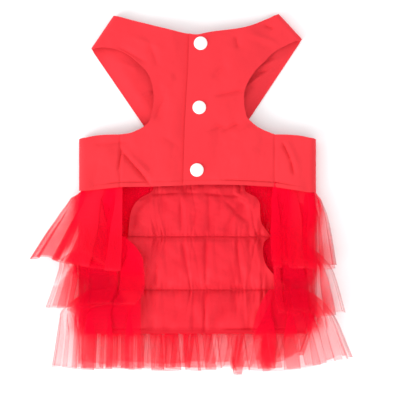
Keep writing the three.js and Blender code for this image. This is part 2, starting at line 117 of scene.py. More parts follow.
def new_material(name, constants):
    """A material, its nodes and its shader, with what is the same all over the surface."""
    material = bpy.data.materials.new(name)
    material.use_nodes = True
    tree = material.node_tree
    return material, tree, fill(tree, tree.nodes["Principled BSDF"], constants)


def add_table():
    corners = ((-1, -1), (1, -1), (1, 1), (-1, 1))
    mesh = bpy.data.meshes.new("table")
    mesh.from_pydata([(x * TABLE_REACH, y * TABLE_REACH, 0) for x, y in corners], [], [(0, 1, 2, 3)])
    table = bpy.data.objects.new("table", mesh)
    table.location.z = -TABLE_DROP
    bpy.context.scene.collection.objects.link(table)
    matt_white = {"Base Color": (0.97, 0.97, 0.98, 1), "Roughness": 0.9, "Specular IOR Level": 0.1}
    mesh.materials.append(new_material("pale_table", matt_white)[0])
    print("table", 2 * TABLE_REACH, "m wide")


add_table()


# %% [markdown]
# The photo's light comes from all round and leaves only faint shadows, which a bright sky gives. Under
# the sky alone the folds would hardly show, and a small hard lamp would throw shadows that the photo
# doesn't have. So one broad lamp stands low at the left and lights the folds from the side.

# %% Light the dress
SKY_STRENGTH = 1.1
LAMP_PLACE = (-1.6, -1.0, 1.0)
LAMP_WIDTH = 1.2
LAMP_WATTS = 27
NET_LAYERS = 64  # light may pass this many layers of net on its way


def add_lamp():
    lamp = bpy.data.lights.new("key_lamp", "AREA")
    lamp.shape = "DISK"
    lamp.size = LAMP_WIDTH
    lamp.energy = LAMP_WATTS
    holder = bpy.data.objects.new("key_lamp", lamp)
    holder.location = LAMP_PLACE
    aim = -holder.location.copy()
    holder.rotation_euler = aim.to_track_quat("-Z", "Y").to_euler()
    bpy.context.scene.collection.objects.link(holder)


def add_sky():
    world = bpy.data.worlds.new("soft_sky")
    world.use_nodes = True
    sky = world.node_tree.nodes["Background"]
    fill(world.node_tree, sky, {"Color": (1, 1, 1, 1), "Strength": SKY_STRENGTH})
    bpy.context.scene.world = world


add_lamp()
add_sky()
bpy.context.scene.view_settings.view_transform = "Standard"
bpy.context.scene.cycles.transparent_max_bounces = NET_LAYERS
print("lamp", LAMP_WATTS, "W, sky", SKY_STRENGTH)


# %% [markdown]
# A pattern cutter draws an edge through a few measured points. Straight lines between them look like
# card, and one curve through them all rounds off the corners. So each stretch here is a cubic that meets
# its neighbours smoothly, and that stops at a point named as a corner.

# %% Helpers for smooth curves
def ease(t):
    """Soft step from zero to one."""
    t = np.clip(t, 0, 1)
    return t * t * (3 - 2 * t)


def between(first, last, share):
    """Straight blend from a first value to a last one."""
    return first * (1 - share) + last * share


def through(values, places, corners=()):
    """Smooth curve through a column of values at fractional row numbers, with corners kept sharp."""
    values = np.asarray(values, float)
    places = np.clip(np.asarray(places, float), 0, len(values) - 1)
    low = np.minimum(places.astype(int), len(values) - 2)
    t = places - low
    before = np.where((low == 0) | np.isin(low, corners), low, low - 1)
    after = np.where((low + 2 > len(values) - 1) | np.isin(low + 1, corners), low + 1, low + 2)
    a, b = values[low], values[low + 1]
    start = np.where(before == low, b - a, (b - values[before]) / 2)
    end = np.where(after == low + 1, b - a, (values[after] - a) / 2)
    return ((2 * t**3 - 3 * t**2 + 1) * a + (t**3 - 2 * t**2 + t) * start
            + (3 * t**2 - 2 * t**3) * b + (t**3 - t**2) * end)


def at_share(table, share):
    """Smooth values of a table's columns, at shares of the length that its first column gives."""
    stations, *columns = zip(*table)
    places = np.interp(share, stations, range(len(stations)))
    return [through(column, places) for column in columns]


print("between 0 and 1, a curve through 0, 1, 1 passes", float(through([0, 1, 1], [0.5])[0]))


# %% [markdown]
# Lying cloth is never flat. Its creases could come from a cloth simulation or from sculpting by hand.
# Here each one is a line with a width and a depth, pressed into the surface by a formula, so it lies
# where the photo shows it each time the lesson runs. A few long waves make the rest gently uneven.

# %% Helpers for folds
FOLD_TAPER = 0.4  # share of a fold's length over which its ends fade
FOLD_OVERRUN = 0.15
RIPPLE_WAVES = 14


def fold_relief(x, y, folds):
    """Height of soft folds at points in millimetres. A row holds the two ends of a fold's line, in
    shares of half the chest and of the bodice's length, then its width and its height in millimetres."""
    height = np.zeros_like(x)
    for x0, y0, x1, y1, width, depth in folds:
        ax, ay = x0 * HALF_CHEST, y0 * BODICE_LENGTH
        bx, by = x1 * HALF_CHEST, y1 * BODICE_LENGTH
        length = np.hypot(bx - ax, by - ay)
        along = ((x - ax) * (bx - ax) + (y - ay) * (by - ay)) / length**2
        off = ((x - ax) * (by - ay) - (y - ay) * (bx - ax)) / length
        ends = (ease((along + FOLD_OVERRUN) / FOLD_TAPER)
                * ease((1 + FOLD_OVERRUN - along) / FOLD_TAPER))
        height += depth * ends * np.exp(-np.abs(off / width) ** 1.5)
    return height


def ripple(x, y, seed, longest, height):
    """Gentle random unevenness of lying cloth: a sum of a few long waves."""
    dice = np.random.default_rng(seed)
    total = np.zeros_like(x)
    for _ in range(RIPPLE_WAVES):
        wave = longest * dice.uniform(0.25, 1)
        turn, phase = dice.uniform(0, 2 * np.pi, 2)
        push = 2 * np.pi / wave * (x * np.cos(turn) + y * np.sin(turn))
        total += np.sin(push + phase) * wave / longest
    return height * total / 4


print("a fold 2 mm high and 3 mm wide is", round(2 * np.exp(-1.0), 2), "mm high 3 mm from its line")


# %% [markdown]
# Cloth is a surface with a little thickness. It could be cut from a plane with modifiers, but then its
# edges would be hard to place. So each piece is a grid of points worked out in numbers. Grids that share
# an edge are sewn into one skin, and Solidify gives the skin its thickness. The map named cloth says
# where each point lies on the flat fabric, which the tulle's net needs.

# %% Helpers for sewing
WELD_REACH = 1e-5
SHARP_ANGLE = 55  # degrees; a cut edge is sharper, a fold is not


def to_frame(x, y, z):
    """Dressmaker's millimetres to the frame's metres."""
    return np.stack([MIDDLE_X + x * MM, WAIST_Y + y * MM, z * MM], axis=-1)


def cloth_map(grid):
    """Where each point lies on the flat cloth, in metres."""
    across = np.linalg.norm(np.diff(grid, axis=1), axis=2).mean(axis=0)
    along = np.linalg.norm(np.diff(grid, axis=0), axis=2).mean(axis=1)
    u = np.concatenate([[0], np.cumsum(across)])
    v = np.concatenate([[0], np.cumsum(along)])
    return np.stack(np.meshgrid(u, v), -1)


def grid_faces(start, down, across):
    """Corner numbers of the squares of a grid whose first point has the start number."""
    numbers = start + np.arange(down * across).reshape(down, across)
    corners = [numbers[:-1, :-1], numbers[:-1, 1:], numbers[1:, 1:], numbers[1:, :-1]]
    return np.stack(corners, -1).reshape(-1, 4)


def sew(name, grids, material, thickness=0.0, marks=None):
    """One object from grids of points. Grids that share an edge are joined, and get a thickness."""
    starts = np.cumsum([0] + [grid.shape[0] * grid.shape[1] for grid in grids])
    verts = np.concatenate([grid.reshape(-1, 3) for grid in grids])
    faces = np.concatenate([grid_faces(s, *grid.shape[:2]) for s, grid in zip(starts, grids)])
    mesh = bpy.data.meshes.new(name)
    mesh.from_pydata(verts.tolist(), [], faces.tolist())
    places = np.concatenate([cloth_map(grid).reshape(-1, 2) for grid in grids])
    layer = mesh.uv_layers.new(name="cloth")
    layer.data.foreach_set("uv", places[faces.reshape(-1)].reshape(-1))
    for mark, values in (marks or {}).items():
        mesh.attributes.new(mark, "FLOAT", "POINT").data.foreach_set("value", values.reshape(-1))
    mesh.materials.append(material)
    piece = bpy.data.objects.new(name, mesh)
    bpy.context.scene.collection.objects.link(piece)
    if thickness:
        thicken(piece, thickness)
    piece.data.polygons.foreach_set("use_smooth", [True] * len(piece.data.polygons))
    if thickness:
        piece.data.set_sharp_from_angle(angle=np.radians(SHARP_ANGLE))
    return piece


def thicken(piece, thickness):
    """Joins the grids' shared edges, gives the skin its thickness and keeps the result."""
    piece.modifiers.new("sewn_edges", "WELD").merge_threshold = WELD_REACH
    shell = piece.modifiers.new("thickness", "SOLIDIFY")
    shell.thickness = thickness * MM
    shell.offset = 0
    graph = bpy.context.evaluated_depsgraph_get()
    made = bpy.data.meshes.new_from_object(piece.evaluated_get(graph))
    piece.modifiers.clear()
    piece.data = made


print("sewing helpers are ready")


# %% [markdown]
# A machine's stitches hold the waist, the lining's seams and its hem. Rather than a bump in the material,
# each stitch is a small closed tube with rounded ends, half sunk in the cloth, and a whole row is one
# piece.

# %% Helpers for stitches
STITCH_PITCH, STITCH_LENGTH, STITCH_RADIUS = 2.7, 1.9, 0.24
FIRST_STITCH = 0.4
STITCH_SIDES = 6
STITCH_STATIONS = np.array([0, 0.08, 0.25, 0.75, 0.92, 1])
STITCH_GIRTHS = np.array([0.05, 0.7, 1, 1, 0.7, 0.05])
STITCH_DIP = 0.3  # share of the radius by which a stitch's ends sink


def stitch_tubes(line, rise):
    """One closed tube of points for each stitch along a line of points in metres."""
    travelled = np.concatenate([[0], np.cumsum(np.linalg.norm(np.diff(line, axis=0), axis=1))]) / MM
    starts = np.arange(FIRST_STITCH, travelled[-1] - STITCH_LENGTH, STITCH_PITCH)
    at = starts[:, None] + STITCH_STATIONS * STITCH_LENGTH
    centre = np.stack([np.interp(at, travelled, line[:, k]) for k in range(3)], -1)
    centre[..., 2] += (rise - STITCH_DIP * STITCH_RADIUS * (1 - STITCH_GIRTHS)) * MM
    ahead = centre[:, -1] - centre[:, 0]
    side = np.stack([-ahead[:, 1], ahead[:, 0], 0 * ahead[:, 0]], -1)
    side /= np.linalg.norm(side, axis=1)[:, None]
    around = np.linspace(0, 2 * np.pi, STITCH_SIDES + 1)[:-1, None]
    ring = np.cos(around) * side[:, None, None] + np.sin(around) * np.array([0, 0, 1.0])
    points = centre[:, :, None] + ring * (STITCH_RADIUS * STITCH_GIRTHS * MM)[:, None, None]
    return np.concatenate([points, points[:, :, :1]], axis=2)


def stitch_row(name, line, material, rise):
    """A row of stitches along a line of points in metres, as one piece."""
    piece = sew(name, list(stitch_tubes(line, rise)), material)
    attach(piece, "root")
    return piece


print("stitches:", STITCH_LENGTH, "mm long,", STITCH_PITCH, "mm apart")


# %% [markdown]
# Each sheet takes the place of its imported piece. Gathered cloth is cut much wider than it looks, and
# its flat size is worked out from the finished surface: its area along the cloth, shared out over its
# reach.

# %% Helper that puts a sheet in place of its imported piece
def sheet_area(piece, layers):
    return sum(face.area for face in piece.data.polygons) / layers


def declare(piece, node, held, layers):
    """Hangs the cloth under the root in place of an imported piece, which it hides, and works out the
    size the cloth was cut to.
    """
    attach(piece, "root")
    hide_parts(node)
    low = np.min([vert.co for vert in piece.data.vertices], axis=0)
    high = np.max([vert.co for vert in piece.data.vertices], axis=0)
    area = sheet_area(piece, layers)
    width, length = high[0] - low[0], high[1] - low[1]
    if held == "gathered":
        width = area / length


# %% [markdown]
# A material is a small net of nodes. It could be drawn by hand in the shader editor. Written as code it
# is the same each time, and a few helpers for a sum, a mix of colours and a mark that is painted on the
# mesh keep the recipes below short.

# %% Helpers for nodes
def new_group(name, inputs, outputs):
    group = bpy.data.node_groups.new(name, "ShaderNodeTree")
    for label, kind, value in inputs:
        socket = group.interface.new_socket(name=label, in_out="INPUT", socket_type=kind)
        if value is not None:
            socket.default_value = value
    for label in outputs:
        group.interface.new_socket(name=label, in_out="OUTPUT", socket_type="NodeSocketFloat")
    return group, group.nodes.new("NodeGroupInput"), group.nodes.new("NodeGroupOutput")


def math_node(tree, operation, *values):
    node = tree.nodes.new("ShaderNodeMath")
    node.operation = operation
    for k, value in enumerate(values):
        if isinstance(value, (int, float)):
            node.inputs[k].default_value = value
        else:
            tree.links.new(value, node.inputs[k])
    return node.outputs[0]


def mix_colour(tree, factor, first, second):
    node = tree.nodes.new("ShaderNodeMix")
    node.data_type = "RGBA"
    first, second = ((*colour, 1) if isinstance(colour, tuple) else colour for colour in (first, second))
    return fill(tree, node, {"Factor": factor, "A": first, "B": second}).outputs["Result"]


def mark_value(tree, name):
    node = tree.nodes.new("ShaderNodeAttribute")
    node.attribute_name = name
    return node.outputs["Fac"]


def set_group(tree, group, inputs):
    """Places a node group in a material, with its own values."""
    node = tree.nodes.new("ShaderNodeGroup")
    node.node_tree = group
    return fill(tree, node, inputs)


def noise(tree, place, scale, detail):
    """Soft random patches between zero and one."""
    node = tree.nodes.new("ShaderNodeTexNoise")
    return fill(tree, node, {"Vector": place, "Scale": scale, "Detail": detail}).outputs["Fac"]


def uneven(tree, patches, middle, spread):
    """A number that the patches move a little to both sides of its middle."""
    return math_node(tree, "ADD", math_node(tree, "MULTIPLY", patches, spread), middle - spread / 2)


print("node helpers are ready")


# %% [markdown]
# The cotton and the lining are both plain weaves, one thread over and one under, and differ in how fine
# they are. A picture of cloth would repeat and blur. A node group counts the threads instead, at any
# pitch, and puts out the height of the weave and the small gaps between its threads.

# %% The weave's node group
def thread_tops(group, way):
    """Rounded tops of the threads, counted across one direction."""
    turn = math_node(group, "MULTIPLY", way, np.pi)
    return math_node(group, "ABSOLUTE", math_node(group, "SINE", turn))


def make_weave_group():
    group, given, result = new_group(
        "plain_weave",
        [("Vector", "NodeSocketVector", None), ("Threads per metre", "NodeSocketFloat", 2400.0)],
        ["Height", "Gaps"],
    )
    scale = group.nodes.new("ShaderNodeVectorMath")
    scale.operation = "SCALE"
    group.links.new(given.outputs["Vector"], scale.inputs[0])
    group.links.new(given.outputs["Threads per metre"], scale.inputs["Scale"])
    split = group.nodes.new("ShaderNodeSeparateXYZ")
    group.links.new(scale.outputs[0], split.inputs[0])
    across, along = split.outputs[0], split.outputs[1]
    cell = math_node(group, "ADD", math_node(group, "FLOOR", across), math_node(group, "FLOOR", along))
    over = math_node(group, "PINGPONG", cell, 1.0)
    under = math_node(group, "SUBTRACT", 1.0, over)
    warp, weft = thread_tops(group, across), thread_tops(group, along)
    raised = math_node(group, "MULTIPLY", warp, over), math_node(group, "MULTIPLY", weft, under)
    gaps = math_node(group, "SUBTRACT", 1.0, math_node(group, "MAXIMUM", warp, weft))
    fill(group, result, {"Height": math_node(group, "ADD", *raised), "Gaps": gaps})
    return group


WEAVE = make_weave_group()
print("node group:", WEAVE.name)


# %% [markdown]
# Tulle is a net of six-sided holes. Cells that grow from scattered points until they touch have just
# such borders, so the distance to the nearest border gives a mask of the threads.

# %% The net's node group
def make_net_group():
    group, given, result = new_group(
        "tulle_net",
        [("Vector", "NodeSocketVector", None), ("Holes per metre", "NodeSocketFloat", 900.0),
         ("Thread", "NodeSocketFloat", 0.1)],
        ["Thread mask"],
    )
    cells = group.nodes.new("ShaderNodeTexVoronoi")
    cells.voronoi_dimensions = "2D"
    cells.feature = "DISTANCE_TO_EDGE"
    fill(group, cells, {"Vector": given.outputs["Vector"], "Scale": given.outputs["Holes per metre"],
                        "Randomness": 0.35})
    edge = math_node(group, "DIVIDE", cells.outputs["Distance"], given.outputs["Thread"])
    mask = math_node(group, "SUBTRACT", 1.0, math_node(group, "MINIMUM", edge, 1.0))
    fill(group, result, {"Thread mask": mask})
    return group


NET = make_net_group()
print("node group:", NET.name)


# %% [markdown]
# The bodice is a matt cotton in a bright red, with a little fuzz that catches the light at grazing
# angles. The lining is the same red but smoother, so its folds shine more. One flat red would look like
# plastic. A slow noise moves both colours a little, because dye and handling never leave cloth even, and
# a mark on the mesh deepens the lining's red with painted shade at its seams, in its creases and along
# its doubled hem.

# %% The cotton and the lining
PATCH_SCALE = 28  # patches of uneven dye to a metre
GAP_SHADE = 0.35
ROUGHNESS_SPREAD = 0.12


def woven_material(name, colour, shade, painted_shade, threads, roughness, gloss, sheen, bump, unevenness):
    material, tree, shader = new_material(
        name, {"Sheen Weight": sheen, "Sheen Roughness": 0.4, "Specular IOR Level": gloss})
    place = tree.nodes.new("ShaderNodeTexCoord").outputs["Object"]
    weave = set_group(tree, WEAVE, {"Vector": place, "Threads per metre": threads})
    patches = noise(tree, place, PATCH_SCALE, 4)
    soft = math_node(tree, "MULTIPLY", patches, unevenness)
    amount = math_node(tree, "ADD", soft, math_node(tree, "MULTIPLY", weave.outputs["Gaps"], GAP_SHADE))
    dye = mix_colour(tree, amount, colour, shade)
    relief = fill(tree, tree.nodes.new("ShaderNodeBump"),
                  {"Strength": 1, "Distance": bump, "Height": weave.outputs["Height"]})
    # The mark on the mesh mixes in a deeper red, which is painted shade.
    fill(tree, shader, {
        "Base Color": mix_colour(tree, mark_value(tree, "painted_shade"), dye, painted_shade),
        "Roughness": uneven(tree, patches, roughness, ROUGHNESS_SPREAD),
        "Normal": relief.outputs["Normal"],
    })
    return material


COTTON = woven_material(
    "bright_cotton", colour=(0.86, 0.033, 0.047), shade=(0.66, 0.016, 0.028), painted_shade=(0.6, 0.01, 0.02),
    threads=2300, roughness=0.8, gloss=0.25, sheen=0.07, bump=0.00006, unevenness=0.4)
LINING = woven_material(
    "smooth_lining", colour=(0.85, 0.024, 0.042), shade=(0.64, 0.007, 0.02), painted_shade=(0.6, 0.002, 0.014),
    threads=3400, roughness=0.5, gloss=0.14, sheen=0.02, bump=0.00003, unevenness=0.45)
print("materials:", COTTON.name, LINING.name)


# %% [markdown]
# Tulle is a net of very thin threads. From a hand's breadth away the holes can't be seen apart, and it
# reads as a clear red film that deepens wherever it is folded over. Modelled threads would be far too
# many, so the sheet is see-through, a little less along each thread. Three marks on the mesh steer it:
# plies for how much a place covers, lit for a painted highlight on ribbons that catch the light, and a
# third for painted shade in sharp creases.
# Real threads pass red light on to the layer below, and a faint red glow stands for that.

# %% The tulle
NET_HOLES, NET_THREAD = 800, 0.16
THREAD_COVER, THREAD_SHARE = 1.1, 0.3  # the holes are cleared by what the threads add on average
THREAD_GLOW, GLOW_COLOUR = 0.13, (1, 0, 0.01, 1)
TULLE_RED, TULLE_DEEP = (0.85, 0.001, 0.026), (0.75, 0.0005, 0.02)
# The net's red with a painted highlight, and with painted shade.
TULLE_LIT, TULLE_SHADED = (0.9, 0.034, 0.06), (0.36, 0.0005, 0.014)


def tulle_material():
    material, tree, shader = new_material("red_tulle", {
        "Specular IOR Level": 0.05, "Roughness": 0.85,
        "Emission Color": GLOW_COLOUR, "Emission Strength": THREAD_GLOW})
    place = tree.nodes.new("ShaderNodeUVMap")
    place.uv_map = "cloth"
    net = set_group(tree, NET, {
        "Vector": place.outputs["UV"], "Holes per metre": NET_HOLES, "Thread": NET_THREAD})
    mask = net.outputs["Thread mask"]
    threads = math_node(tree, "MULTIPLY", mask, THREAD_COVER)
    closeness = math_node(tree, "ADD", threads, 1 - THREAD_SHARE * THREAD_COVER)
    cover = math_node(tree, "MULTIPLY", closeness, mark_value(tree, "plies"))
    dye = mix_colour(tree, mask, TULLE_RED, TULLE_DEEP)
    # Painted highlight where the ribbons are lit, then painted shade in the creases.
    lit = mix_colour(tree, mark_value(tree, "lit"), dye, TULLE_LIT)
    fill(tree, shader, {
        "Base Color": mix_colour(tree, mark_value(tree, "net_shade"), lit, TULLE_SHADED),
        "Alpha": math_node(tree, "MINIMUM", cover, 1.0),
    })
    return material


TULLE = tulle_material()
print("material:", TULLE.name)


# %% [markdown]
# The shoulder straps fold over at two straight lines. Each front panel runs up the chest, rounds that
# fold and meets the back's strap underneath, so no seam shows on top. The two fold lines come first,
# because everything above the chest is measured from them.

# %% Shoulder folds
SHOULDERS = {
    "left": {"side": -1, "outer": (-0.9, 0.8), "top": (-0.71, 0.99)},
    "right": {"side": 1, "outer": (0.884, 0.855), "top": (0.687, 1.0)},
}
SHOULDER_HEIGHT = 8.0
SHOULDER_SLOPE = 60.0  # length over which the chest falls to the shoulders' height
CLOTH = 0.9  # real thickness of the doubled cotton
FOLD_RADIUS = (SHOULDER_HEIGHT - BODICE_CLOTH / 2) / 2
FOLD_INSET = FOLD_RADIUS + BODICE_CLOTH / 2
SIDE_RADIUS = (FRONT_HEIGHT - BODICE_CLOTH / 2) / 2
SIDE_INSET = SIDE_RADIUS + BODICE_CLOTH / 2


def place_on_bodice(share_x, share_y):
    """A point in millimetres from its shares of half the chest and of the bodice's length."""
    return np.array((share_x * HALF_CHEST, share_y * BODICE_LENGTH))


def shoulder_line(name):
    """Outer end, top end and inward direction of a shoulder fold, in millimetres."""
    spec = SHOULDERS[name]
    outer, top = place_on_bodice(*spec["outer"]), place_on_bodice(*spec["top"])
    along = (top - outer) / np.linalg.norm(top - outer)
    return outer, top, spec["side"] * np.array([-along[1], along[0]])


def along_edge(fold_end, edge_point, inward):
    """Step from a fold's end along a cut edge, one millimetre in from the fold."""
    step = np.asarray(edge_point, float) - fold_end
    return step / (step @ inward)


def front_level(x, y):
    """Height at which the front lies, falling from the chest to the shoulder folds."""
    level, fall = np.full_like(x, FRONT_HEIGHT), FRONT_HEIGHT - SHOULDER_HEIGHT
    for name in SHOULDERS:
        outer, _, inward = shoulder_line(name)
        reach = (x - outer[0]) * inward[0] + (y - outer[1]) * inward[1] - FOLD_INSET - 2
        level = np.minimum(level, SHOULDER_HEIGHT + fall * ease(reach / SHOULDER_SLOPE))
    return level


print("shoulder fold radius", round(FOLD_RADIUS, 2), "mm, side fold radius", round(SIDE_RADIUS, 2), "mm")


# %% [markdown]
# The front panels' cut is a short table: a row for each section from the waist to the shoulder, with
# the outer edge (side seam, then armhole) and the inner edge (button edge, then neckline), as shares of
# half the chest and of the bodice's length. Rows on the side seam give a share of the seam instead. A
# table is easy to correct against a photo, where a sculpted edge would have to be pushed point by point.

# %% Cut of the front panels
SEAM_X = 71.0 / 109.5
SEAM_HEM, SEAM_TOP = 1.0, 49.2
LEFT_CUT = [
    (0.0, (0.091, 0.0225)),
    (0.33, (0.094, 0.124)),
    (0.7, (0.097, 0.236)),
    (1.0, (0.1, 0.335)),
    ((-0.533, 0.322), (0.102, 0.42)),
    ((-0.411, 0.375), (0.105, 0.5)),
    ((-0.376, 0.457), (0.107, 0.58)),
    ((-0.368, 0.514), (0.11, 0.66)),
    ((-0.383, 0.596), (0.112, 0.74)),
    ((-0.428, 0.666), (0.115, 0.81)),
    ((-0.533, 0.737), (0.117, 0.879)),
    ((-0.593, 0.768), (-0.077, 0.882)),
    ((-0.66, 0.79), (-0.315, 0.92)),
    ((-0.777, 0.806), (-0.5, 0.953)),
    ((-0.9, 0.8), (-0.71, 0.99)),
]
RIGHT_CUT = [
    (0.0, (-0.12, 0.018)),
    (0.33, (-0.117, 0.124)),
    (0.7, (-0.113, 0.236)),
    (1.0, (-0.108, 0.335)),
    ((0.515, 0.345), (-0.102, 0.42)),
    ((0.425, 0.397), (-0.096, 0.5)),
    ((0.403, 0.435), (-0.088, 0.58)),
    ((0.391, 0.491), (-0.08, 0.66)),
    ((0.403, 0.573), (-0.076, 0.74)),
    ((0.48, 0.666), (-0.073, 0.81)),
    ((0.567, 0.725), (-0.07, 0.882)),
    ((0.61, 0.757), (0.0, 0.877)),
    ((0.66, 0.785), (0.12, 0.893)),
    ((0.74, 0.815), (0.394, 0.92)),
    ((0.81, 0.838), (0.567, 0.963)),
    ((0.884, 0.855), (0.687, 1.0)),
]
SEAM_CORNER, NECK_CORNER = 3, 10  # rows at which an edge has a sharp corner
print(len(LEFT_CUT), "and", len(RIGHT_CUT), "sections")


# %% [markdown]
# The photo shows a handful of clear creases: a pinch beside each side seam, two short ones over the
# belly, and soft ones where the armholes and the neck pull. Each is one row of a table, so a crease that
# looks wrong can be moved without touching the others.

# %% Folds of the front panels
FOLD_STRENGTH = 2.3
FRONT_FOLDS = [
    (-0.64, 0.217, -0.4, 0.023, 2.2, -1.5),
    (-0.61, 0.21, -0.4, 0.075, 2.6, 1.0),
    (-0.643, 0.217, -0.668, 0.097, 1.3, -0.9),
    (-0.86, 0.25, -0.58, 0.268, 3.0, -0.8),
    (-0.95, 0.15, -0.72, 0.2, 5.0, 0.5),
    (0.718, 0.257, 0.786, 0.16, 1.8, -1.3),
    (0.786, 0.16, 0.807, 0.08, 1.8, -1.2),
    (0.75, 0.26, 0.84, 0.12, 3.5, 0.7),
    (0.071, 0.32, 0.24, 0.366, 2.0, -0.9),
    (0.205, 0.326, 0.357, 0.371, 2.0, -0.9),
    (0.3, 0.3, 0.45, 0.36, 3.0, 0.7),
    (0.147, 0.526, 0.405, 0.566, 2.4, -1.0),
    (0.12, 0.63, 0.24, 0.71, 4.0, -0.8),
    (-0.65, 0.806, -0.433, 0.72, 3.5, -1.0),
    (-0.55, 0.86, -0.3, 0.8, 4.5, 0.7),
    (-0.4, 0.84, -0.33, 0.7, 3.6, -0.8),
    (0.567, 0.931, 0.643, 0.914, 1.8, -0.9),
    (0.32, 0.87, 0.34, 0.8, 2.4, -0.8),
    (0.45, 0.88, 0.66, 0.83, 3.4, 0.8),
    (-0.27, 0.52, -0.35, 0.4, 3.0, -0.8),
    (-0.3, 0.3, -0.14, 0.24, 4.0, -0.6),
    (-0.3, 0.57, -0.2, 0.64, 5.0, 0.6),
    (0.3, 0.16, 0.5, 0.22, 5.0, 0.6),
]
print(len(FRONT_FOLDS), "folds")


# %% [markdown]
# The fronts lie on top of each other where they snap shut, so the lower one steps down under the other's
# edge. Near that edge the folds are held back, or one front would poke through the other. The turned
# hem is a slightly thicker band, and its thread pulls a groove that deepens in two places.

# %% Surface of the front panels
FLAP_EDGE, FLAP_STEP, FLAP_DROP = -17.0, 22.0, 2.1
SNAP_LINE, SNAP_BAND, SNAP_FADE = -2, 11, 12  # middle, half width and fading of the double band
HELD_BACK = 0.35  # share of a fold's height that is left there
HEM_WIDTH = 5.0
HEM_THREAD = 0.6  # the thread's distance from the band's upper edge
STITCH_LINE = 0.8  # the stitches' distance from that edge
HEM_RISE = 0.3
HEM_GROOVE, PULLED_GROOVE, GROOVE_WIDTH = 0.35, 0.9, 0.7
HEM_PULLS, PULL_BLUR = [(-0.8, -0.4), (0.18, 0.84)], 0.08
SEAM_DEPTH, SEAM_WIDTH = 0.8, 1.2


def front_surface(x, y, under_flap):
    """Height of a front panel at points in millimetres."""
    free = ease((np.abs(x - SNAP_LINE) - SNAP_BAND) / SNAP_FADE)
    folds = FOLD_STRENGTH * fold_relief(x, y, FRONT_FOLDS)
    z = front_level(x, y) + folds * between(HELD_BACK, 1, free)
    z += (ripple(x, y, 5, 70, 0.9) + ripple(x, y, 6, 26, 0.4)) * free + ripple(x, y, 7, 50, 0.25)
    if under_flap:
        z -= FLAP_DROP * ease((x - FLAP_EDGE + FLAP_STEP / 2) / FLAP_STEP)
    return z


def hem_relief(x, distance):
    """Height of the doubled hem band at a distance from its edge."""
    share = x / HALF_CHEST
    pull = sum(ease((share - low) / PULL_BLUR) * ease((high - share) / PULL_BLUR)
               for low, high in HEM_PULLS)
    band = HEM_RISE * ease((HEM_WIDTH + HEM_THREAD - distance) / (2 * HEM_THREAD))
    groove = np.exp(-(((distance - HEM_WIDTH + HEM_THREAD) / GROOVE_WIDTH) ** 2))
    return band - (HEM_GROOVE + PULLED_GROOVE * pull) * groove


def seam_groove(distance):
    """Dent that a seam's thread pulls into the cloth."""
    return SEAM_DEPTH * np.exp(-((distance / SEAM_WIDTH) ** 2))


def hem_line(grid):
    """Line of points along the cloth, as far above its hem as the stitches are."""
    rise = (grid[:, :, 1] - grid[:1, :, 1]) / MM
    line = [[np.interp(HEM_WIDTH - STITCH_LINE, rise[:, i], grid[:, i, k]) for k in range(3)]
            for i in range(grid.shape[1])]
    return np.array(line)


print("hem", HEM_WIDTH, "mm wide, flap", FLAP_DROP, "mm lower")


# %% [markdown]
# Each front could be cut flat and bent afterwards. It is drawn straight into its place instead: smooth
# curves run through its table, with the corner under the arm and the one at the neck kept sharp, and the
# space between them is filled with rows of points. Past the last section the rows carry on round the
# shoulder fold, in steps that turn from the front's edges towards the back strap's.

# %% Make the front panels
ARMPITS = {"left": [(-0.52, 0.26), (-0.448, 0.352)], "right": [(0.5, 0.26), (0.425, 0.385)]}
NECK_BEND = (0.42, 0.72)
HEM_ROWS, CHEST_ROWS, FOLD_ROWS = 26, 140, 14
ACROSS_FRONT = np.linspace(0, 1, 120)[None, :, None]
HEM_BOW = {"left": -0.6, "right": 1.1}


def edge_points(cut, name):
    """Corner points of a panel's outer and inner edge in millimetres, up to where its fold begins."""
    seam_x, seam_span = SHOULDERS[name]["side"] * SEAM_X, SEAM_TOP - SEAM_HEM
    outer = [place if isinstance(place, tuple)
             else (seam_x, (SEAM_HEM + seam_span * place) / BODICE_LENGTH) for place, _ in cut]
    inner = [place for _, place in cut]
    edges = [np.array([place_on_bodice(*point) for point in edge]) for edge in (outer, inner)]
    steps = [along_edge(edge[-1], edge[-2], shoulder_line(name)[2]) for edge in edges]
    for edge, step in zip(edges, steps):
        edge[-1] += step * FOLD_INSET
    return edges, steps


def smooth_edge(points, places, corner):
    return np.stack([through(points[:, k], places, (corner,)) for k in (0, 1)], -1)


def strap_steps(name):
    """Steps in from the shoulder fold along the back strap's outer edge and its neck edge."""
    fold_outer, fold_top, inward = shoulder_line(name)
    armpit = place_on_bodice(*ARMPITS[name][1])
    neck = place_on_bodice(SHOULDERS[name]["side"] * NECK_BEND[0], NECK_BEND[1])
    return along_edge(fold_outer, armpit, inward), along_edge(fold_top, neck, inward)


def chest_part(name, outer, inner, places, under_flap):
    """Points of a front from the waist to its shoulder fold, and their heights at the fold."""
    flat = between(outer[:, None], inner[:, None], ACROSS_FRONT)
    x, y = flat[..., 0], flat[..., 1]
    bow = HEM_BOW[name] * np.sin(np.pi * ACROSS_FRONT[..., 0])
    y = y + bow * (1 - ease(places / 1.5))[:, None]
    z = front_surface(x, y, under_flap) + hem_relief(x, y - y[0])
    z -= seam_groove(np.abs(x) - SEAM_X * HALF_CHEST) * (y < SEAM_TOP)
    return to_frame(x, y, z), z[-1]


def shoulder_part(name, steps, top_z):
    """Points of the half turn that carries a front over the shoulder to the back's strap."""
    fold_outer, fold_top, _ = shoulder_line(name)
    turn = np.linspace(0, np.pi, FOLD_ROWS)[1:, None]
    line, front_step, back_step = (
        between(first, last, ACROSS_FRONT[0])
        for first, last in ((fold_outer, fold_top), steps, strap_steps(name)))
    step = between(front_step[None], back_step[None], (turn / np.pi)[..., None])
    xy = line[None] + step * (FOLD_INSET - FOLD_RADIUS * np.sin(turn))[..., None]
    radius = (top_z[None] - BODICE_CLOTH / 2) / 2
    return to_frame(xy[..., 0], xy[..., 1], BODICE_CLOTH / 2 + radius * (1 + np.cos(turn)))


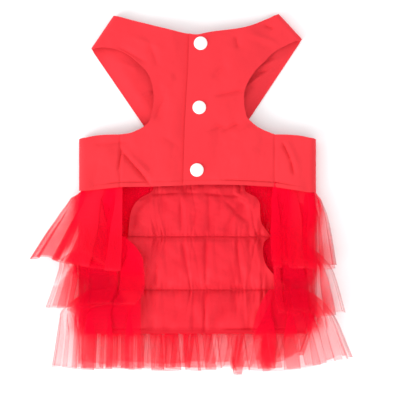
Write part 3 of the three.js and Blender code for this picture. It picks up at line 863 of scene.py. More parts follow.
def front_panel(cut, name, under_flap):
    last = len(cut) - 1
    places = np.unique(np.concatenate([
        np.linspace(0, 0.5, HEM_ROWS), np.linspace(0.5, last, CHEST_ROWS), np.arange(last + 1)]))
    (outer, inner), steps = edge_points(cut, name)
    outer, inner = smooth_edge(outer, places, SEAM_CORNER), smooth_edge(inner, places, NECK_CORNER)
    chest, top_z = chest_part(name, outer, inner, places, under_flap)
    grid = np.concatenate([chest, shoulder_part(name, steps, top_z)])
    piece = sew(f"front_{name}_panel_cloth", [grid], COTTON, CLOTH)
    stitches = stitch_row(
        f"front_{name}_waist_stitches", hem_line(chest), COTTON, CLOTH / 2)
    declare(piece, f"front_{name}_panel", "laid", 2)


front_panel(LEFT_CUT, "left", True)
front_panel(RIGHT_CUT, "right", False)


# %% [markdown]
# The back is one layer on the table, and through the armholes the insides of its two straps show. Each
# half is drawn from its outer edge to the middle, so the two meet in one line of points and are sewn
# into one cloth. The straps lift a little off the table between the side and the shoulder fold, and
# carry the creases that show inside the armholes.

# %% Halves of the back panel
STRAP_CREASES = [
    (-0.51, 0.514, -0.37, 0.549, 1.6, 1.6),
    (-0.66, 0.72, -0.5, 0.68, 3.0, 1.0),
    (0.43, 0.594, 0.643, 0.691, 1.8, 2.0),
    (0.47, 0.66, 0.6, 0.67, 1.8, -1.4),
    (0.542, 0.697, 0.777, 0.766, 1.8, 1.8),
]
STRAP_LIFT = 4.5
DEEPEST_CREASE = -2
LOOSE_FROM_EDGE, LOOSE_FROM_FOLD, LOOSE_FROM_SIDE = 16, 22, 16
SIDE_LENGTH = 44.7
UNDERARM_LEVEL = 0.37
BACK_NECK = 0.56
HEM_LOW = {"left": HEM_DROP, "right": 4.0}
SIDE_STEPS = np.concatenate([np.linspace(0, 0.16, 20), np.linspace(0.16, 1, 34)[1:]])  # finer at the hem
UNDERARM_ROWS, STRAP_ROWS, BELOW_NECK_ROWS, BACK_COLUMNS = 19, 59, 12, 60


def bent(points, t):
    """Points of a Bezier curve with two, three or four control points."""
    points = [np.asarray(p, float)[None] for p in points]
    while len(points) > 1:
        points = [between(a, b, t[:, None]) for a, b in zip(points, points[1:])]
    return points[0]


def shares(count):
    """Evenly spaced shares after zero, up to one."""
    return np.linspace(0, 1, count + 1)[1:]


def back_edges(name):
    """Outer edge and middle line of half the back, in matching rows of points."""
    side = SHOULDERS[name]["side"]
    ends = zip(shoulder_line(name), strap_steps(name))
    strap_outer, strap_top = (end + step * FOLD_INSET for end, step in ends)
    bend, armpit = (place_on_bodice(*point) for point in ARMPITS[name])
    side_x = side * (HALF_CHEST - SIDE_INSET)
    outer = np.concatenate([
        bent([(side_x, -HEM_LOW[name]), (side_x, SIDE_LENGTH)], SIDE_STEPS),
        bent([(side_x, SIDE_LENGTH), bend, armpit], shares(UNDERARM_ROWS)),
        bent([armpit, strap_outer], shares(STRAP_ROWS)),
    ])
    underarm, neck = UNDERARM_LEVEL * BODICE_LENGTH, BACK_NECK * BODICE_LENGTH
    neckline = [(0, neck), (side * 0.3 * HALF_CHEST, neck),
                place_on_bodice(side * NECK_BEND[0], NECK_BEND[1]), strap_top]
    inner = np.concatenate([
        bent([(0, -HEM_DROP), (0, SIDE_LENGTH)], SIDE_STEPS),
        bent([(0, SIDE_LENGTH), (0, underarm)], shares(UNDERARM_ROWS)),
        bent([(0, underarm), (0, neck)], shares(BELOW_NECK_ROWS)),
        bent(neckline, shares(STRAP_ROWS - BELOW_NECK_ROWS)),
    ])
    return outer, inner


def back_half(name):
    outer, inner = back_edges(name)
    flat = between(outer[:, None], inner[:, None], np.linspace(0, 1, BACK_COLUMNS)[None, :, None])
    x, y = flat[..., 0], flat[..., 1]
    fold_outer, _, inward = shoulder_line(name)
    from_edge = np.linalg.norm(flat - outer[:, None], axis=2)
    from_fold = (x - fold_outer[0]) * inward[0] + (y - fold_outer[1]) * inward[1] - FOLD_INSET
    loose = (ease(from_edge / LOOSE_FROM_EDGE) * ease(from_fold / LOOSE_FROM_FOLD)
             * ease((y - SIDE_LENGTH) / LOOSE_FROM_SIDE))
    creases = fold_relief(x, y, STRAP_CREASES) + ripple(x, y, 9, 40, 0.5)
    z = BODICE_CLOTH / 2 + loose * (STRAP_LIFT + np.maximum(DEEPEST_CREASE, creases))
    grid = to_frame(x, y, z)
    return grid if name == "left" else grid[:, ::-1]


back_halves = [back_half(name) for name in SHOULDERS]
print("back halves:", [half.shape[:2] for half in back_halves])


# %% [markdown]
# The back's sides wrap round to the front, as far as the side seams. Such a fold could be bent with a
# modifier, but the seam has to meet the front exactly. So each wrap is a grid of its own that starts on
# the half's outer edge, makes half a turn, and ends at the seam with the front's own height and folds.

# %% Wrap the back round the sides
WRAP_TURN_ROWS, WRAP_FLAT_ROWS = 20, 39
SEAM_GAP = 0.2
WRAP_BLEND = 0.35  # share of the way to the seam over which the front's own surface takes over
FOLD_CLIMB = 0.14  # share of the top edge's climb that is made on the fold


def side_wrap(name):
    side = SHOULDERS[name]["side"]
    turn = np.linspace(0, np.pi, WRAP_TURN_ROWS)
    seam_out = HALF_CHEST * (1 - SEAM_X) - SEAM_GAP
    flat_out = np.linspace(SIDE_INSET, seam_out, WRAP_FLAT_ROWS + 1)[1:]
    on_flat = (flat_out - SIDE_INSET) / (seam_out - SIDE_INSET)
    round_side = BODICE_CLOTH / 2 + SIDE_RADIUS * (1 - np.cos(turn))
    fold_climb = FOLD_CLIMB * ease(2 * turn / np.pi - 1)
    out, lift, to_seam, climb = (np.concatenate(parts)[None] for parts in (
        (SIDE_INSET - SIDE_RADIUS * np.sin(turn), flat_out),
        (round_side, flat_out * 0 + FRONT_HEIGHT),
        (turn * 0, on_flat),
        (fold_climb, between(FOLD_CLIMB, 1, on_flat)),
    ))
    top = between(SEAM_TOP, SIDE_LENGTH, (1 - climb) ** 3)
    hem = between(-HEM_LOW[name], SEAM_HEM, to_seam)
    y = between(hem, top, SIDE_STEPS[:, None])
    x = side * (HALF_CHEST - out) + y * 0
    on_front = front_surface(x, y, False) - FRONT_HEIGHT + hem_relief(x, y - hem)
    z = lift + on_front * ease(to_seam / WRAP_BLEND) - seam_groove(seam_out - out) * (to_seam > 0)
    grid = to_frame(x, y, z)
    return grid if name == "right" else grid[:, ::-1]


wraps = {name: side_wrap(name) for name in SHOULDERS}
back_cloth = sew("back_panel_cloth", [*back_halves, *wraps.values()], COTTON, CLOTH)
flat_parts = {"left": wraps["left"][:, :WRAP_FLAT_ROWS], "right": wraps["right"][:, -WRAP_FLAT_ROWS:]}
wrap_stitches = [
    stitch_row(f"{name}_wrap_waist_stitches", hem_line(part), COTTON, CLOTH / 2)
    for name, part in flat_parts.items()
]
declare(back_cloth, "back_panel", "folded", 2)


# %% [markdown]
# The lining hangs inside the skirt in three tiers. One sheet with two grooves would look the same from
# afar, but each real tier is gathered into the one above and lies a little lower at the seam. So each
# has a table of its own, from its seam down: its left and right edge, in shares of half the chest, and
# the height at which it lies. The edges swing in and out, because the ruffles are laid over them.

# %% Cut of the lining
LINING_TIERS = {  # share of the length, left and right edge, height
    "upper": {"top": 5.0, "length": 49.6, "rows": [
        (0, 0.37, 0.4, 3.5),
        (0.16, 0.383, 0.405, 3.6),
        (0.27, 0.47, 0.49, 4.4),
        (0.38, 0.525, 0.524, 5.0),
        (0.55, 0.562, 0.528, 5.4),
        (0.75, 0.575, 0.54, 5.9),
        (1, 0.585, 0.62, 7.6),
    ]},
    "middle": {"top": -44.0, "length": 49.5, "rows": [
        (0, 0.585, 0.62, 6.2),
        (0.12, 0.6, 0.56, 8.6),
        (0.4, 0.65, 0.555, 10.6),
        (0.64, 0.7, 0.61, 11.2),
        (1, 0.78, 0.78, 8.6),
    ]},
    "lower": {"top": -92.6, "length": 41.4, "rows": [
        (0, 0.78, 0.78, 7.2),
        (0.15, 0.81, 0.81, 9.4),
        (0.3, 0.83, 0.84, 10.6),
        (0.7, 0.9, 0.9, 11.4),
        (1, 0.94, 0.912, 9.6),
    ]},
}
print("lining tiers:", ", ".join(LINING_TIERS))


# %% [markdown]
# The lining was folded, and it shows: a drawn line just under the waist, creases that cross near its
# right corner, and long ones down each tier. They are rows of a table, as on the bodice.

# %% Folds of the lining
LINING_FOLD_STRENGTH = 1.7
LINING_LIFT, LOWEST_DIP = 0.8, 1.5
LINING_FOLDS = [
    (-0.49, -0.069, -0.4, -0.037, 1.6, -0.8),
    (-0.39, -0.036, -0.16, -0.027, 1.6, -0.7),
    (-0.13, -0.028, 0.04, -0.03, 1.6, -0.4),
    (0.06, -0.031, 0.2, -0.04, 1.6, -1.0),
    (0.22, -0.041, 0.35, -0.045, 1.6, -0.7),
    (0.36, -0.047, 0.43, -0.08, 1.6, -0.7),
    (-0.142, -0.06, -0.14, -0.26, 2.0, -0.9),
    (-0.1, -0.05, -0.1, -0.22, 3.0, 0.7),
    (0.092, -0.03, 0.1, -0.25, 2.4, -0.7),
    (0.24, -0.08, 0.41, -0.19, 2.2, -1.1),
    (0.41, -0.07, 0.26, -0.2, 2.6, -0.9),
    (0.34, -0.03, 0.46, -0.1, 3.0, 1.0),
    (-0.4, -0.05, -0.52, -0.14, 2.4, -0.9),
    (-0.52, -0.14, -0.54, -0.24, 2.4, -0.9),
    (-0.35, -0.09, -0.45, -0.2, 4.0, 0.7),
    (-0.138, -0.3, -0.063, -0.53, 2.4, -1.0),
    (0.069, -0.28, 0.069, -0.56, 1.8, -1.2),
    (0.12, -0.3, 0.13, -0.52, 4.0, 0.8),
    (0.323, -0.3, 0.374, -0.56, 2.0, -1.3),
    (0.37, -0.3, 0.42, -0.5, 3.0, 0.9),
    (-0.343, -0.42, -0.36, -0.56, 2.4, -1.2),
    (-0.3, -0.4, -0.28, -0.55, 4.0, 0.8),
    (0.06, -0.58, 0.06, -0.85, 1.6, -1.6),
    (0.09, -0.6, 0.1, -0.8, 4.0, 0.8),
    (-0.034, -0.6, -0.04, -0.84, 2.4, -0.7),
]
print(len(LINING_FOLDS), "folds, none deeper than", LOWEST_DIP, "mm")


# %% [markdown]
# A gathered seam throws short puckers on both of its sides. They are too many to list, so a seeded draw
# deals them out, and each is a small ridge that fades away from the thread. Where the photo shows the
# seam pulling harder they are taller and longer. Shade is painted into the lining's red at the seams, in
# the creases and along the doubled hem, over a little even and patchy deepening.

# %% Puckers and the lining's painted shade
PUCKERS = 90
PUCKER_SPOTS = [(-0.45, -0.27), (0.28, 0.6), (-0.1, -0.02)]
STRONG_PUCKER, WEAK_PUCKER, LONG_PUCKER = 2.2, 0.6, 1.4
TIER_PUCKERS = {"upper": (0.5, 0.7), "middle": (0.9, 0.7), "lower": (0.9, 0)}  # below and above a seam
# Painted shade in the lining's red: a little even deepening, then along the hem, in the creases and at
# the seams.
EVEN_RED, HEM_SHADE, CREASE_SHADE = 0.1, 0.7, 0.5
SEAM_SHADE, SHADE_BELOW, SHADE_ABOVE = 0.4, 5, 2.5  # how much, and how far it reaches on each side
TURNED_HEM, HEM_FADE = 8, 6


def puckers(x, distance, seed):
    """Short ridges that run away from a gathered seam."""
    dice = np.random.default_rng(seed)
    height = np.zeros_like(x)
    for _ in range(PUCKERS):
        share = dice.uniform(-0.8, 0.8)
        strong = any(a < share < b for a, b in PUCKER_SPOTS)
        size = dice.uniform(0.5, 1.0) * (STRONG_PUCKER if strong else WEAK_PUCKER)
        width, reach = dice.uniform(0.9, 2.2), dice.uniform(4, 12) * (LONG_PUCKER if strong else 1)
        lean = dice.uniform(-0.25, 0.25)
        off = (x - share * HALF_CHEST - lean * distance) / width
        height += size * dice.choice([-1, 1]) * np.exp(-(off**2) - np.maximum(distance, 0) / reach)
    return height


def lining_relief(name, x, y, at, length, inside, seed):
    """Folds, puckers and unevenness of a tier, held back near its seams."""
    below, above = TIER_PUCKERS[name]
    relief = LINING_FOLD_STRENGTH * fold_relief(x, y, LINING_FOLDS) * between(0.3, 1, inside)
    relief += below * puckers(x, at * length, seed) * ease(at * 12)
    relief += above * puckers(x, (1 - at) * length, seed + 1) * ease((1 - at) * 30)
    return relief + (ripple(x, y, seed, 34, 0.8) + ripple(x, y, seed + 5, 16, 0.25)) * inside


def lining_painted_shade(name, x, y, from_top, from_hem, relief, seed):
    """Painted shade in the lining's red at each point of a tier: at its seams, in its creases and along
    the lowest tier's hem, over a little even and patchy deepening.
    """
    painted_shade = SEAM_SHADE * np.exp(-from_top / SHADE_BELOW) + EVEN_RED + ripple(x, y, seed + 9, 60, 0.15)
    if name == "lower":
        painted_shade += HEM_SHADE * ease((TURNED_HEM - from_hem) / HEM_FADE)
    else:
        painted_shade += SEAM_SHADE * np.exp(-from_hem / SHADE_ABOVE)
    return np.clip(painted_shade + CREASE_SHADE * np.clip(-relief / LOWEST_DIP, 0, 1), 0, 1)


print(PUCKERS, "puckers a seam")


# %% [markdown]
# Each tier is a grid between its two edges. The relief is limited softly, so that no crease reaches the
# tulle under the lining, however many fall on one spot. The hem's stitches follow the turned band, and
# the seams' stitches the last rows of the tier above.

# %% Make the lining
LINING_CLOTH = 0.7
TIER_ROWS, TIER_COLUMNS = 76, 260
SEAM_ROW = -3


def lining_tier(name, tier, seed):
    at, share = np.linspace(0, 1, TIER_ROWS)[:, None], np.linspace(0, 1, TIER_COLUMNS)[None]
    left, right, level = at_share(tier["rows"], at)
    from_top, from_hem = at * tier["length"], (1 - at) * tier["length"]
    x = HALF_CHEST * between(-left, right, share)
    y = tier["top"] - from_top + x * 0
    inside = ease(at * 8) * ease((1 - at) * 8)
    relief = lining_relief(name, x, y, at, tier["length"], inside, seed)
    z = level + LINING_LIFT * inside + LOWEST_DIP * np.tanh(relief / LOWEST_DIP)
    if name == "lower":
        z += hem_relief(x, from_hem)
    grid = to_frame(x, y, z)
    marks = {"painted_shade": lining_painted_shade(name, x, y, from_top, from_hem, relief, seed)}
    piece = sew(f"lining_{name}_tier_cloth", [grid], LINING, LINING_CLOTH, marks)
    line = hem_line(grid[::-1]) if name == "lower" else grid[SEAM_ROW]
    stitches = stitch_row(
        f"lining_{name}_tier_stitches", line, LINING, LINING_CLOTH / 2)
    declare(piece, f"lining_{name}_tier", "gathered", 2)


for number, (name, tier) in enumerate(LINING_TIERS.items()):
    lining_tier(name, tier, 20 + number)


# %% [markdown]
# Each ruffle is gathered tulle, sewn to its seam. It starts at its front edge, rounds the left fold,
# crosses the back and comes round the right fold to the other front edge. A table gives its course from
# the seam down: how far each side has spread into its wing, where the two front edges lie, how high its
# lower and its upper layer lie, and how blunt the turn at the side is. Five lengths then give the hem.
# Cloth dropped by a simulation would lie believably too, but not where the photo has it.

# %% Course of the ruffles
WAIST_FOLD, STRAIGHT_FOLD = HALF_CHEST - 2.2, HALF_CHEST - 0.8
RUFFLE_COLUMNS = ("spread_left", "spread_right", "left", "right", "low", "high", "nose")
RUFFLES = {
    "upper": {"top": 5.0, "start": WAIST_FOLD, "flare": (44.7, 18.5), "tuck": 0, "rows": [
        (0, 0, 0, 0.63, 0.63, 2.2, 11.5, 4.6),
        (0.13, 0, 0.08, 0.63, 0.63, 2.2, 11.5, 4.6),
        (0.2, 0.174, 0.3, 0.63, 0.62, 2.1, 12.8, 7),
        (0.38, 0.37, 0.57, 0.63, 0.62, 2.1, 15.5, 10),
        (0.68, 0.685, 0.8, 0.63, 0.61, 2.3, 19, 14),
        (1, 1, 1, 0.64, 0.62, 2.7, 23, 16),
    ], "lengths": {"left_edge": 80, "left_fold": 66.6, "back": 77, "right_fold": 76, "right_edge": 76}},
    "middle": {"top": -44.6, "start": HALF_CHEST * 0.78, "flare": (52, 48.5), "tuck": 0, "rows": [
        (0, 0, 0, 0.61, 0.62, 5.3, 13.2, 4),
        (0.14, 0.4, 0.38, 0.52, 0.63, 7, 15.6, 7),
        (0.32, 0.73, 0.65, 0.46, 0.635, 8.2, 17.4, 8),
        (0.45, 0.77, 0.772, 0.45, 0.635, 7.8, 18, 9),
        (0.63, 0.84, 0.86, 0.44, 0.64, 3, 18, 12),
        (0.85, 0.93, 0.945, 0.45, 0.65, 2.8, 21, 14),
        (1, 1, 1, 0.52, 0.67, 2.8, 24, 16),
    ], "lengths": {"left_edge": 62, "left_fold": 66.7, "back": 75.4, "right_fold": 71, "right_edge": 68}},
    "lower": {"top": -93.2, "start": HALF_CHEST * 0.915, "flare": (33.2, 41), "tuck": 12, "rows": [
        (0, 0, 0, 0.475, 0.6, 6.2, 13.7, 3.8),
        (0.14, 0.42, 0.3, 0.475, 0.54, 7.9, 16.4, 6),
        (0.28, 0.737, 0.47, 0.475, 0.5, 8.4, 17.6, 7),
        (0.38, 0.78, 0.587, 0.475, 0.48, 8.4, 18.2, 7),
        (0.55, 0.834, 0.71, 0.475, 0.455, 5, 16.5, 9),
        (0.7, 0.89, 0.81, 0.475, 0.44, 3, 15, 10),
        (1, 1, 1, 0.475, 0.4, 3, 14, 12),
    ], "lengths": {"left_edge": 75, "left_fold": 71, "back": 75, "right_fold": 62.4, "right_edge": 73}},
}
print("ruffles:", ", ".join(RUFFLES))


# %% [markdown]
# Three strips lie together in a ruffle: one that flares out into the wings, a denser one that hangs
# straight down, and a shorter one under it. One strip alone is too pale over the bodice's width, and
# three that all flare are too dark in the wings. In the photo the fronts of the middle and the lower
# ruffle are thin, so most of their inner strips stop at the side.

# %% Strips of the ruffles
PARTS = [0, 0.12, 0.2, 0.8, 0.88, 1]  # where the left fold, the back and the right fold begin and end
STRIPS = {
    "flared": {"flares": 1.0, "overlap": 0.95, "lift": 0.8, "folds": 32, "shorter": 0.0},
    "straight": {"flares": 0.0, "overlap": 1.4, "lift": -0.2, "folds": 28, "shorter": 2.0},
    "under": {"flares": 0.0, "overlap": 1.4, "lift": -1.0, "folds": 22, "shorter": 6.0},
}
WRAPS = {  # share of the way at which each strip starts and ends
    "upper": {"flared": (0, 1), "straight": (0, 1), "under": (0, 1)},
    "middle": {"flared": (0, 1), "straight": (0, 1), "under": (0.13, 0.87)},
    "lower": {"flared": (0, 1), "straight": (0.13, 0.87), "under": (0.16, 0.84)},
}
print("strips:", ", ".join(STRIPS))


# %% [markdown]
# A ruffle's course is followed like a road round the skirt. A curve with a bend modifier could carry a
# strip along it, but each row of this strip has a different course. So for each share of the way and of
# the length a formula says where the strip lies and which way is outwards, and gathers are added to it.

# %% Follow a ruffle round the skirt
HANGING_NOSE = 6  # a strip that hangs straight turns at least this sharply at the side


def way_parts(way):
    """The part of the way round that each point is on, and its share of that part."""
    step = np.interp(way, PARTS, range(6))
    part = np.clip(step.astype(int), 0, 4)
    return part, step - part


def side_folds(spec, row, at, flares):
    """How far out the left and the right fold lie, and how blunt they are."""
    spreads = (row["spread_left"], row["spread_right"])
    flared = [spec["start"] + spread * flare for spread, flare in zip(spreads, spec["flare"])]
    straight = between(spec["start"], STRAIGHT_FOLD, ease(at * 3))
    hanging = (straight, straight - spec["tuck"] * at**2)
    left, right = (between(plain, fold, flares) for plain, fold in zip(hanging, flared))
    return left, right, between(np.minimum(row["nose"], HANGING_NOSE), row["nose"], flares)


def ruffle_path(spec, at, way, flares):
    """x, z, outward direction and turn at shares of the length and of the way round the skirt."""
    row = dict(zip(RUFFLE_COLUMNS, at_share(spec["rows"], at)))
    left, right, nose = side_folds(spec, row, at, flares)
    part, share = way_parts(way)
    turn = np.where(part == 1, np.pi * (1 - share), np.pi * share)
    bulge = nose * (np.sin(turn) - 1)
    x = np.choose(part, [
        between(-row["left"] * HALF_CHEST, nose - left, share),
        -left - bulge,
        between(nose - left, right - nose, share),
        right + bulge,
        between(right - nose, row["right"] * HALF_CHEST, share),
    ])
    none, cosine = 0 * turn, np.cos(turn)
    round_side = (row["low"] + row["high"]) / 2 - (row["high"] - row["low"]) / 2 * cosine
    z = np.choose(part, [row["high"], round_side, row["low"] + none, round_side, row["high"]])
    out_x = np.choose(part, [none, -np.sin(turn), none, np.sin(turn), none])
    out_z = np.choose(part, [none + 1, -cosine, none - 1, -cosine, none + 1])
    return x, z, out_x, out_z, np.where((part == 1) | (part == 3), turn, 0)


def strip_length(way, lengths):
    """Length from seam to hem, from the front edges' own to the side folds' and the back's."""
    part, share = way_parts(way)
    left, right, back = lengths["left_fold"], lengths["right_fold"], lengths["back"]
    none, bow = 0 * share, np.sqrt(np.maximum(0, np.sin(np.pi * share)))
    return np.choose(part, [
        between(lengths["left_edge"], left, share**3),
        left + none,
        between(between(left, right, share), back, bow),
        right + none,
        between(lengths["right_edge"], right, (1 - share) ** 3),
    ])


print("way round:", PARTS)


# %% [markdown]
# A gather is a strip pushed together until it folds over itself like ribbon candy: forward on top,
# back through the middle and forward again underneath. Sliding each point along the path by a sine of
# twice the fold's turn makes just that shape, and no layer passes through another. A simulation of nine
# strips with some thirty folds each would take far too long.

# %% Gather the strips
RUFFLE_ROWS = 26
POINTS_A_FOLD = 14
NARROWEST_FOLD, WIDEST_FOLD = 0.5, 1.5


def gathers(count, seed, overlap):
    """Where each point of a strip starts, how far it slides and its turn in its fold, then how much
    its fold leans, hangs lower and catches the light."""
    dice = np.random.default_rng(seed)
    widths = dice.uniform(NARROWEST_FOLD, WIDEST_FOLD, count)
    ends = np.concatenate([[0], np.cumsum(widths)]) / widths.sum()
    along = np.arange(count * POINTS_A_FOLD + 1) / POINTS_A_FOLD
    fold = np.minimum(along.astype(int), count - 1)
    start = np.interp(along, range(count + 1), ends)
    slide = overlap * dice.uniform(0.5, 1.6, count)[fold] * (widths / widths.sum())[fold]
    lean, hang, tone = (
        np.interp(along, range(count + 1), dice.normal(0, 1, count + 1)) for _ in range(3))
    return start, slide, along * np.pi, lean, hang, tone


def window(x, low, high):
    """One between two shares of half the chest, and zero outside them."""
    share, blur = x / HALF_CHEST, 0.006
    return ease((share - low) / blur + 0.5) * ease((high - share) / blur + 0.5)


print(RUFFLE_ROWS, "rows,", POINTS_A_FOLD, "points a fold")


# %% [markdown]
# A see-through sheet is only right when each layer holds back the right amount of light. The wings are
# one thin net, and nearer the seam many gathers lie on top of each other. Along the lower ruffle's hem
# single ribbons hang lighter or darker, in bands that were read from the photo, and two of them hang
# lower. Two pale gaps part the pleats of the left wings.

# %% How closely the tulle covers
COVERS = {  # left and right values, but for the front
    "upper": {"flared": (0.5, 0.29), "hanging": (0.2, 0.2), "fade": (0.2, 0.2),
              "reach": (12, 20), "front": 0.05},
    "middle": {"flared": (0.28, 0.28), "hanging": (0.2, 0.2), "fade": (0.45, 0.85),
               "reach": (24, 34), "front": 0.12},
    "lower": {"flared": (0.28, 0.14), "hanging": (0.12, 0.11), "fade": (0.62, 0.1),
              "reach": (8, 30), "front": 0.22},
}
HEM_BANDS = [
    (-0.96, -0.845, -0.055), (-0.845, -0.77, -0.06), (-0.77, -0.64, -0.045), (-0.64, -0.5, -0.02),
    (-0.41, -0.33, -0.03), (-0.308, -0.266, 0.05), (-0.236, -0.224, -0.09), (-0.222, -0.178, 0.05),
    (-0.14, -0.128, -0.09), (-0.112, 0.018, 0.04), (0.16, 0.171, -0.09), (0.27, 0.281, -0.08),
    (0.298, 0.382, 0.09), (0.547, 0.651, 0.1),
]
WING_GAPS = [(-115.5, -52.4, 0.75, 19), (-113.3, -66.9, 0.72, 22)]  # top x and y, lean, length
GAP_WIDTH, GAP_CLEARNESS = 2, 0.75
THINNEST = 0.02
SEAM_PLIES = 0.45  # what the close gathers add at the seam
TIP_SPARED = 0.8  # share of the fading that the upper left wing's tip is spared
FRONT_REACH, FRONT_BLUR = 0.48, 0.12  # how far down the front's own plies reach
RIGHT_LOSS, RIGHT_REGAIN = 0.5, 0.35  # the right side is thinner, less so low in its wing
LOWER_SHARE = 0.5  # the share of that loss which the lower ruffle has
BAND_START, BAND_BLUR = 0.55, 0.125


def net_cover(name, kind, at, way, x):
    """How much of the light a strip holds back, before its creases are added."""
    spec, beyond, to_right = COVERS[name], np.abs(x) - STRAIGHT_FOLD, ease(0.5 + x / HALF_CHEST)
    pairs = spec["flared" if kind == "flared" else "hanging"], spec["fade"], spec["reach"]
    cover, fade, reach = (between(left, right, to_right) for left, right in pairs)
    fading = fade * ease(beyond / reach)
    if name == "upper":
        fading = fading * (1 - TIP_SPARED * ease((beyond - 18) / 12) * (x < 0))
    on_front = ((way < PARTS[1]) | (way > PARTS[4])) * (1 - ease((at - FRONT_REACH) / FRONT_BLUR))
    plies = cover * (1 - fading) + spec["front"] * on_front
    loss = RIGHT_LOSS - RIGHT_REGAIN * ease((at - 0.5) / 0.4) * ease(beyond / 4)
    loss = loss * (LOWER_SHARE if name == "lower" else 1)
    plies = plies * (1 - loss * ease((beyond + 12) / 12) * (x > 0))
    plies = plies + SEAM_PLIES * (1 - ease((at - 0.2) * 2)) * (1 - ease(beyond / 10))
    if name == "lower":
        bands = sum(extra * window(x, low, high) for low, high, extra in HEM_BANDS)
        plies = plies + bands * ease((at - BAND_START) / BAND_BLUR)
    return np.maximum(THINNEST, plies)


def wing_gaps(x, y):
    """Share of the cover that is left by the gaps in the left wings."""
    left_over = 1
    for gap_x, gap_y, lean, length in WING_GAPS:
        down = gap_y - y
        gap = np.exp(-(((x - gap_x + lean * down) / GAP_WIDTH) ** 2))
        gap = gap * ease(down / 4) * ease((length - down) / 3 + 1)
        left_over = left_over * (1 - GAP_CLEARNESS * gap)
    return left_over


print(len(HEM_BANDS), "bands along the hem,", len(WING_GAPS), "gaps in the wings")


# %% [markdown]
# Each pleat of the net has two edges, where it turns back on itself. There it is doubled, so it covers
# more, and painted shade makes it darker and sharper, most of all in the wings. The strip's outline at
# the side gets the same. Its cut hem covers a little more and gets a painted highlight, as do ribbons
# that lean towards the light. A flap of the middle ruffle lies over the lining with a painted highlight,
# and painted shade darkens the middle ruffle beside it and the lower ruffle near its seam, over the body.

# %% Paint shade in the creases and highlights on the ribbons
CREASE_WIDTH, OUTLINE_WIDTH = 0.3, 0.16
CREASE_PLIES, OUTLINE_PLIES, HEM_PLIES = 0.22, 0.3, 0.06
HEM_START, HEM_BLUR = 0.985, 0.01
# Painted highlight on lit ribbons, the hem and the middle flap; painted shade in the creases and over the
# body.
MOST_LIT, HEM_LIT = 0.5, 0.3
NET_CREASE_SHADE, CALM_CREASE = 0.85, 0.1  # over the bodice's width the creases hardly show
MIDDLE_FLAP = (-81.4, -74.5, 0.46)  # a point of the flap's left edge, and its lean
FLAP_LIT, MIDDLE_BODY_SHADE, LOWER_BODY_SHADE = 0.25, 0.28, 0.2


def tulle_marks(name, kind, at, way, x, y, turn_round, tone):
    """The marks for each point of a strip: how much it covers, its painted highlight and its painted
    shade.
    """
    pace, in_wing = np.gradient(way, axis=1), ease((np.abs(x) - STRAIGHT_FOLD) / 5)
    inside = 1 - ease((np.abs(x) - STRAIGHT_FOLD) / 3)
    edges = np.exp(-((pace / pace.std() / CREASE_WIDTH) ** 2))
    outline = np.exp(-(((turn_round - np.pi / 2) / OUTLINE_WIDTH) ** 2))
    hem = ease((at - HEM_START) / HEM_BLUR) + 0 * x
    plies = net_cover(name, kind, at, way, x)
    plies = plies + CREASE_PLIES * edges + OUTLINE_PLIES * outline + HEM_PLIES * hem
    # painted highlight on ribbons that lean to the light, and along the hem
    lit = np.clip(0.25 * tone - 0.12, 0, MOST_LIT) * (1 - 0.5 * in_wing) + HEM_LIT * hem
    # painted shade in the creases, most in the wings, and along the side outline
    net_shade = (NET_CREASE_SHADE * edges * between(CALM_CREASE, 1, in_wing) + outline) * (at > 0.2)
    # painted highlight on the middle flap, painted shade over the body beside it and on the lower ruffle
    # near its seam
    if name == "middle":
        flap_x, flap_y, lean = MIDDLE_FLAP
        flap = ease((x - flap_x + (y - flap_y) * lean) / 3) * (x < 0)
        lit = lit + FLAP_LIT * flap * ease((at - 0.7) / 0.2)
        net_shade = net_shade + MIDDLE_BODY_SHADE * inside * (1 - flap)
    if name == "lower":
        net_shade = net_shade + LOWER_BODY_SHADE * inside * (1 - ease((at - 0.45) / 0.1))
    marks = {"plies": plies * wing_gaps(x, y)}
    return marks | {"lit": np.clip(lit, 0, 1), "net_shade": np.clip(net_shade, 0, 1)}


print("creases add", CREASE_PLIES, "of a cover")


# %% [markdown]
# The strip is now put together: the gathers slide its points along the way, its course places them, and
# each fold pushes them in or out a little. Under the lining the folds are pressed flatter. The net has
# no thickness of its own, because its threads are thinner than anything the render could show.

# %% Make the ruffles
FOLD_PUSH = 1.6
HANG_SPREAD, LEAN_SPREAD = 1.7, 0.004
PRESSED_FLAT = 0.6
LOWEST_NET = 0.4
HEM_FLAPS = [(0.298, 0.382, 13.0), (0.547, 0.651, 12.0)]


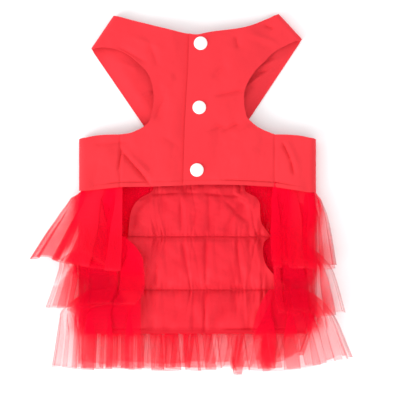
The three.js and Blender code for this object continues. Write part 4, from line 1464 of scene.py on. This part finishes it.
def ruffle_strip(name, spec, kind, seed):
    strip, (first, last) = STRIPS[kind], WRAPS[name][kind]
    folds = (value[None] for value in gathers(strip["folds"], seed, strip["overlap"]))
    start, slide, turn, lean, hang, tone = folds
    at = np.linspace(0, 1, RUFFLE_ROWS)[:, None]
    opened = between(0.25, 1, ease(at * 1.6))
    slid = slide * opened * np.sin(2 * turn) / 2 + lean * LEAN_SPREAD * at * np.sin(np.pi * start)
    way = between(first, last, np.clip(start + slid, 0, 1))
    x, z, out_x, out_z, turn_round = ruffle_path(spec, at, way, strip["flares"])
    under_lining = (out_z < -0.99) * (1 - ease((np.abs(x) / HALF_CHEST - 0.8) / 0.15))
    push = FOLD_PUSH * opened * np.cos(turn) * ease(0.1 + at * 5) + strip["lift"] * ease(at * 5)
    push = push * (1 - PRESSED_FLAT * under_lining)
    y = spec["top"] - at * (strip_length(way, spec["lengths"]) - strip["shorter"] + hang * HANG_SPREAD)
    if name == "lower" and kind == "under":
        y -= at**3 * sum(drop * window(x, low, high) for low, high, drop in HEM_FLAPS)
    marks = tulle_marks(name, kind, at, way, x, y, turn_round, tone)
    grid = to_frame(x + push * out_x, y, np.maximum(LOWEST_NET, z + push * out_z))
    piece = sew(f"ruffle_{name}_{kind}_strip", [grid], TULLE, marks=marks)
    declare(piece, f"ruffle_{name}", "gathered", 1)


for number, (name, spec) in enumerate(RUFFLES.items()):
    for place, kind in enumerate(STRIPS):
        ruffle_strip(name, spec, kind, 40 + 10 * place + number)


# %% [markdown]
# The snaps are pressed white plastic with a slight shine. A clear coat gives the shine, and a fine noise
# keeps the white and its roughness from being perfectly even, as moulded plastic never is.

# %% The snaps' plastic
def snap_material():
    shine = {"Coat Weight": 0.3, "Coat Roughness": 0.1}
    material, tree, shader = new_material("white_snap_plastic", shine)
    place = tree.nodes.new("ShaderNodeTexCoord").outputs["Object"]
    patches = noise(tree, place, 900, 2)
    fill(tree, shader, {
        "Base Color": mix_colour(tree, patches, (0.96, 0.97, 0.96), (0.9, 0.91, 0.9)),
        "Roughness": uneven(tree, patches, 0.27, 0.1),
    })
    return material


PLASTIC = snap_material()
print("material:", PLASTIC.name)


# %% [markdown]
# Each cap is a shallow dome with a rounded rim. A squashed sphere would have no rim, so the cap is
# turned from its outline, like a pot on a lathe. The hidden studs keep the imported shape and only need
# their plastic.

# %% Turn the caps
SNAPS = {"upper": (0.026, 0.826), "middle": (0.015, 0.46), "lower": (-0.005, 0.103)}
CAP_SINK = 0.35  # how deep a cap is pressed into the cloth
CAP_SIDES = 64


def cap_outline(radius, top):
    """Radius and height of the outline's points, from under the cap up over its rim to the middle."""
    seat = FRONT_HEIGHT + CLOTH / 2 - CAP_SINK
    rim = [(0.5, 0), (0.1, 0.35), (0, 0.8), (0.1, 1.15), (0.45, 1.4)]
    dome = [(radius - 1.3, top - 0.35), (radius - 2.6, top - 0.18),
            (radius * 0.35, top - 0.04), (0.05, top)]
    return np.array([(0, seat), *((radius - inset, seat + rise) for inset, rise in rim), *dome]).T


def snap_cap(name, share_x, share_y):
    node = f"snap_cap_{name}"
    low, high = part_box(node)
    r, z = cap_outline((high.x - low.x) / 2 / MM, high.z / MM)
    turn = np.linspace(0, 2 * np.pi, CAP_SIDES + 1)[:, None]
    centre_x, centre_y = place_on_bodice(share_x, share_y)
    x, y = centre_x + r * np.cos(turn), centre_y + r * np.sin(turn)
    piece = sew(node + "_dome", [to_frame(x, y, z[None] + 0 * x)], PLASTIC)
    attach(piece, "root")
    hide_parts(node)


for name, place in SNAPS.items():
    snap_cap(name, *place)
    stud = bpy.data.objects[f"snap_stud_{name}"]
    stud.data.materials.clear()
    stud.data.materials.append(PLASTIC)
print("snaps:", ", ".join(SNAPS))


# %% [markdown]
# Last, the dress is complete. Cloth may stand a few millimetres proud of the box, and no more.

# %% Finish the dress
print("the dress is complete")
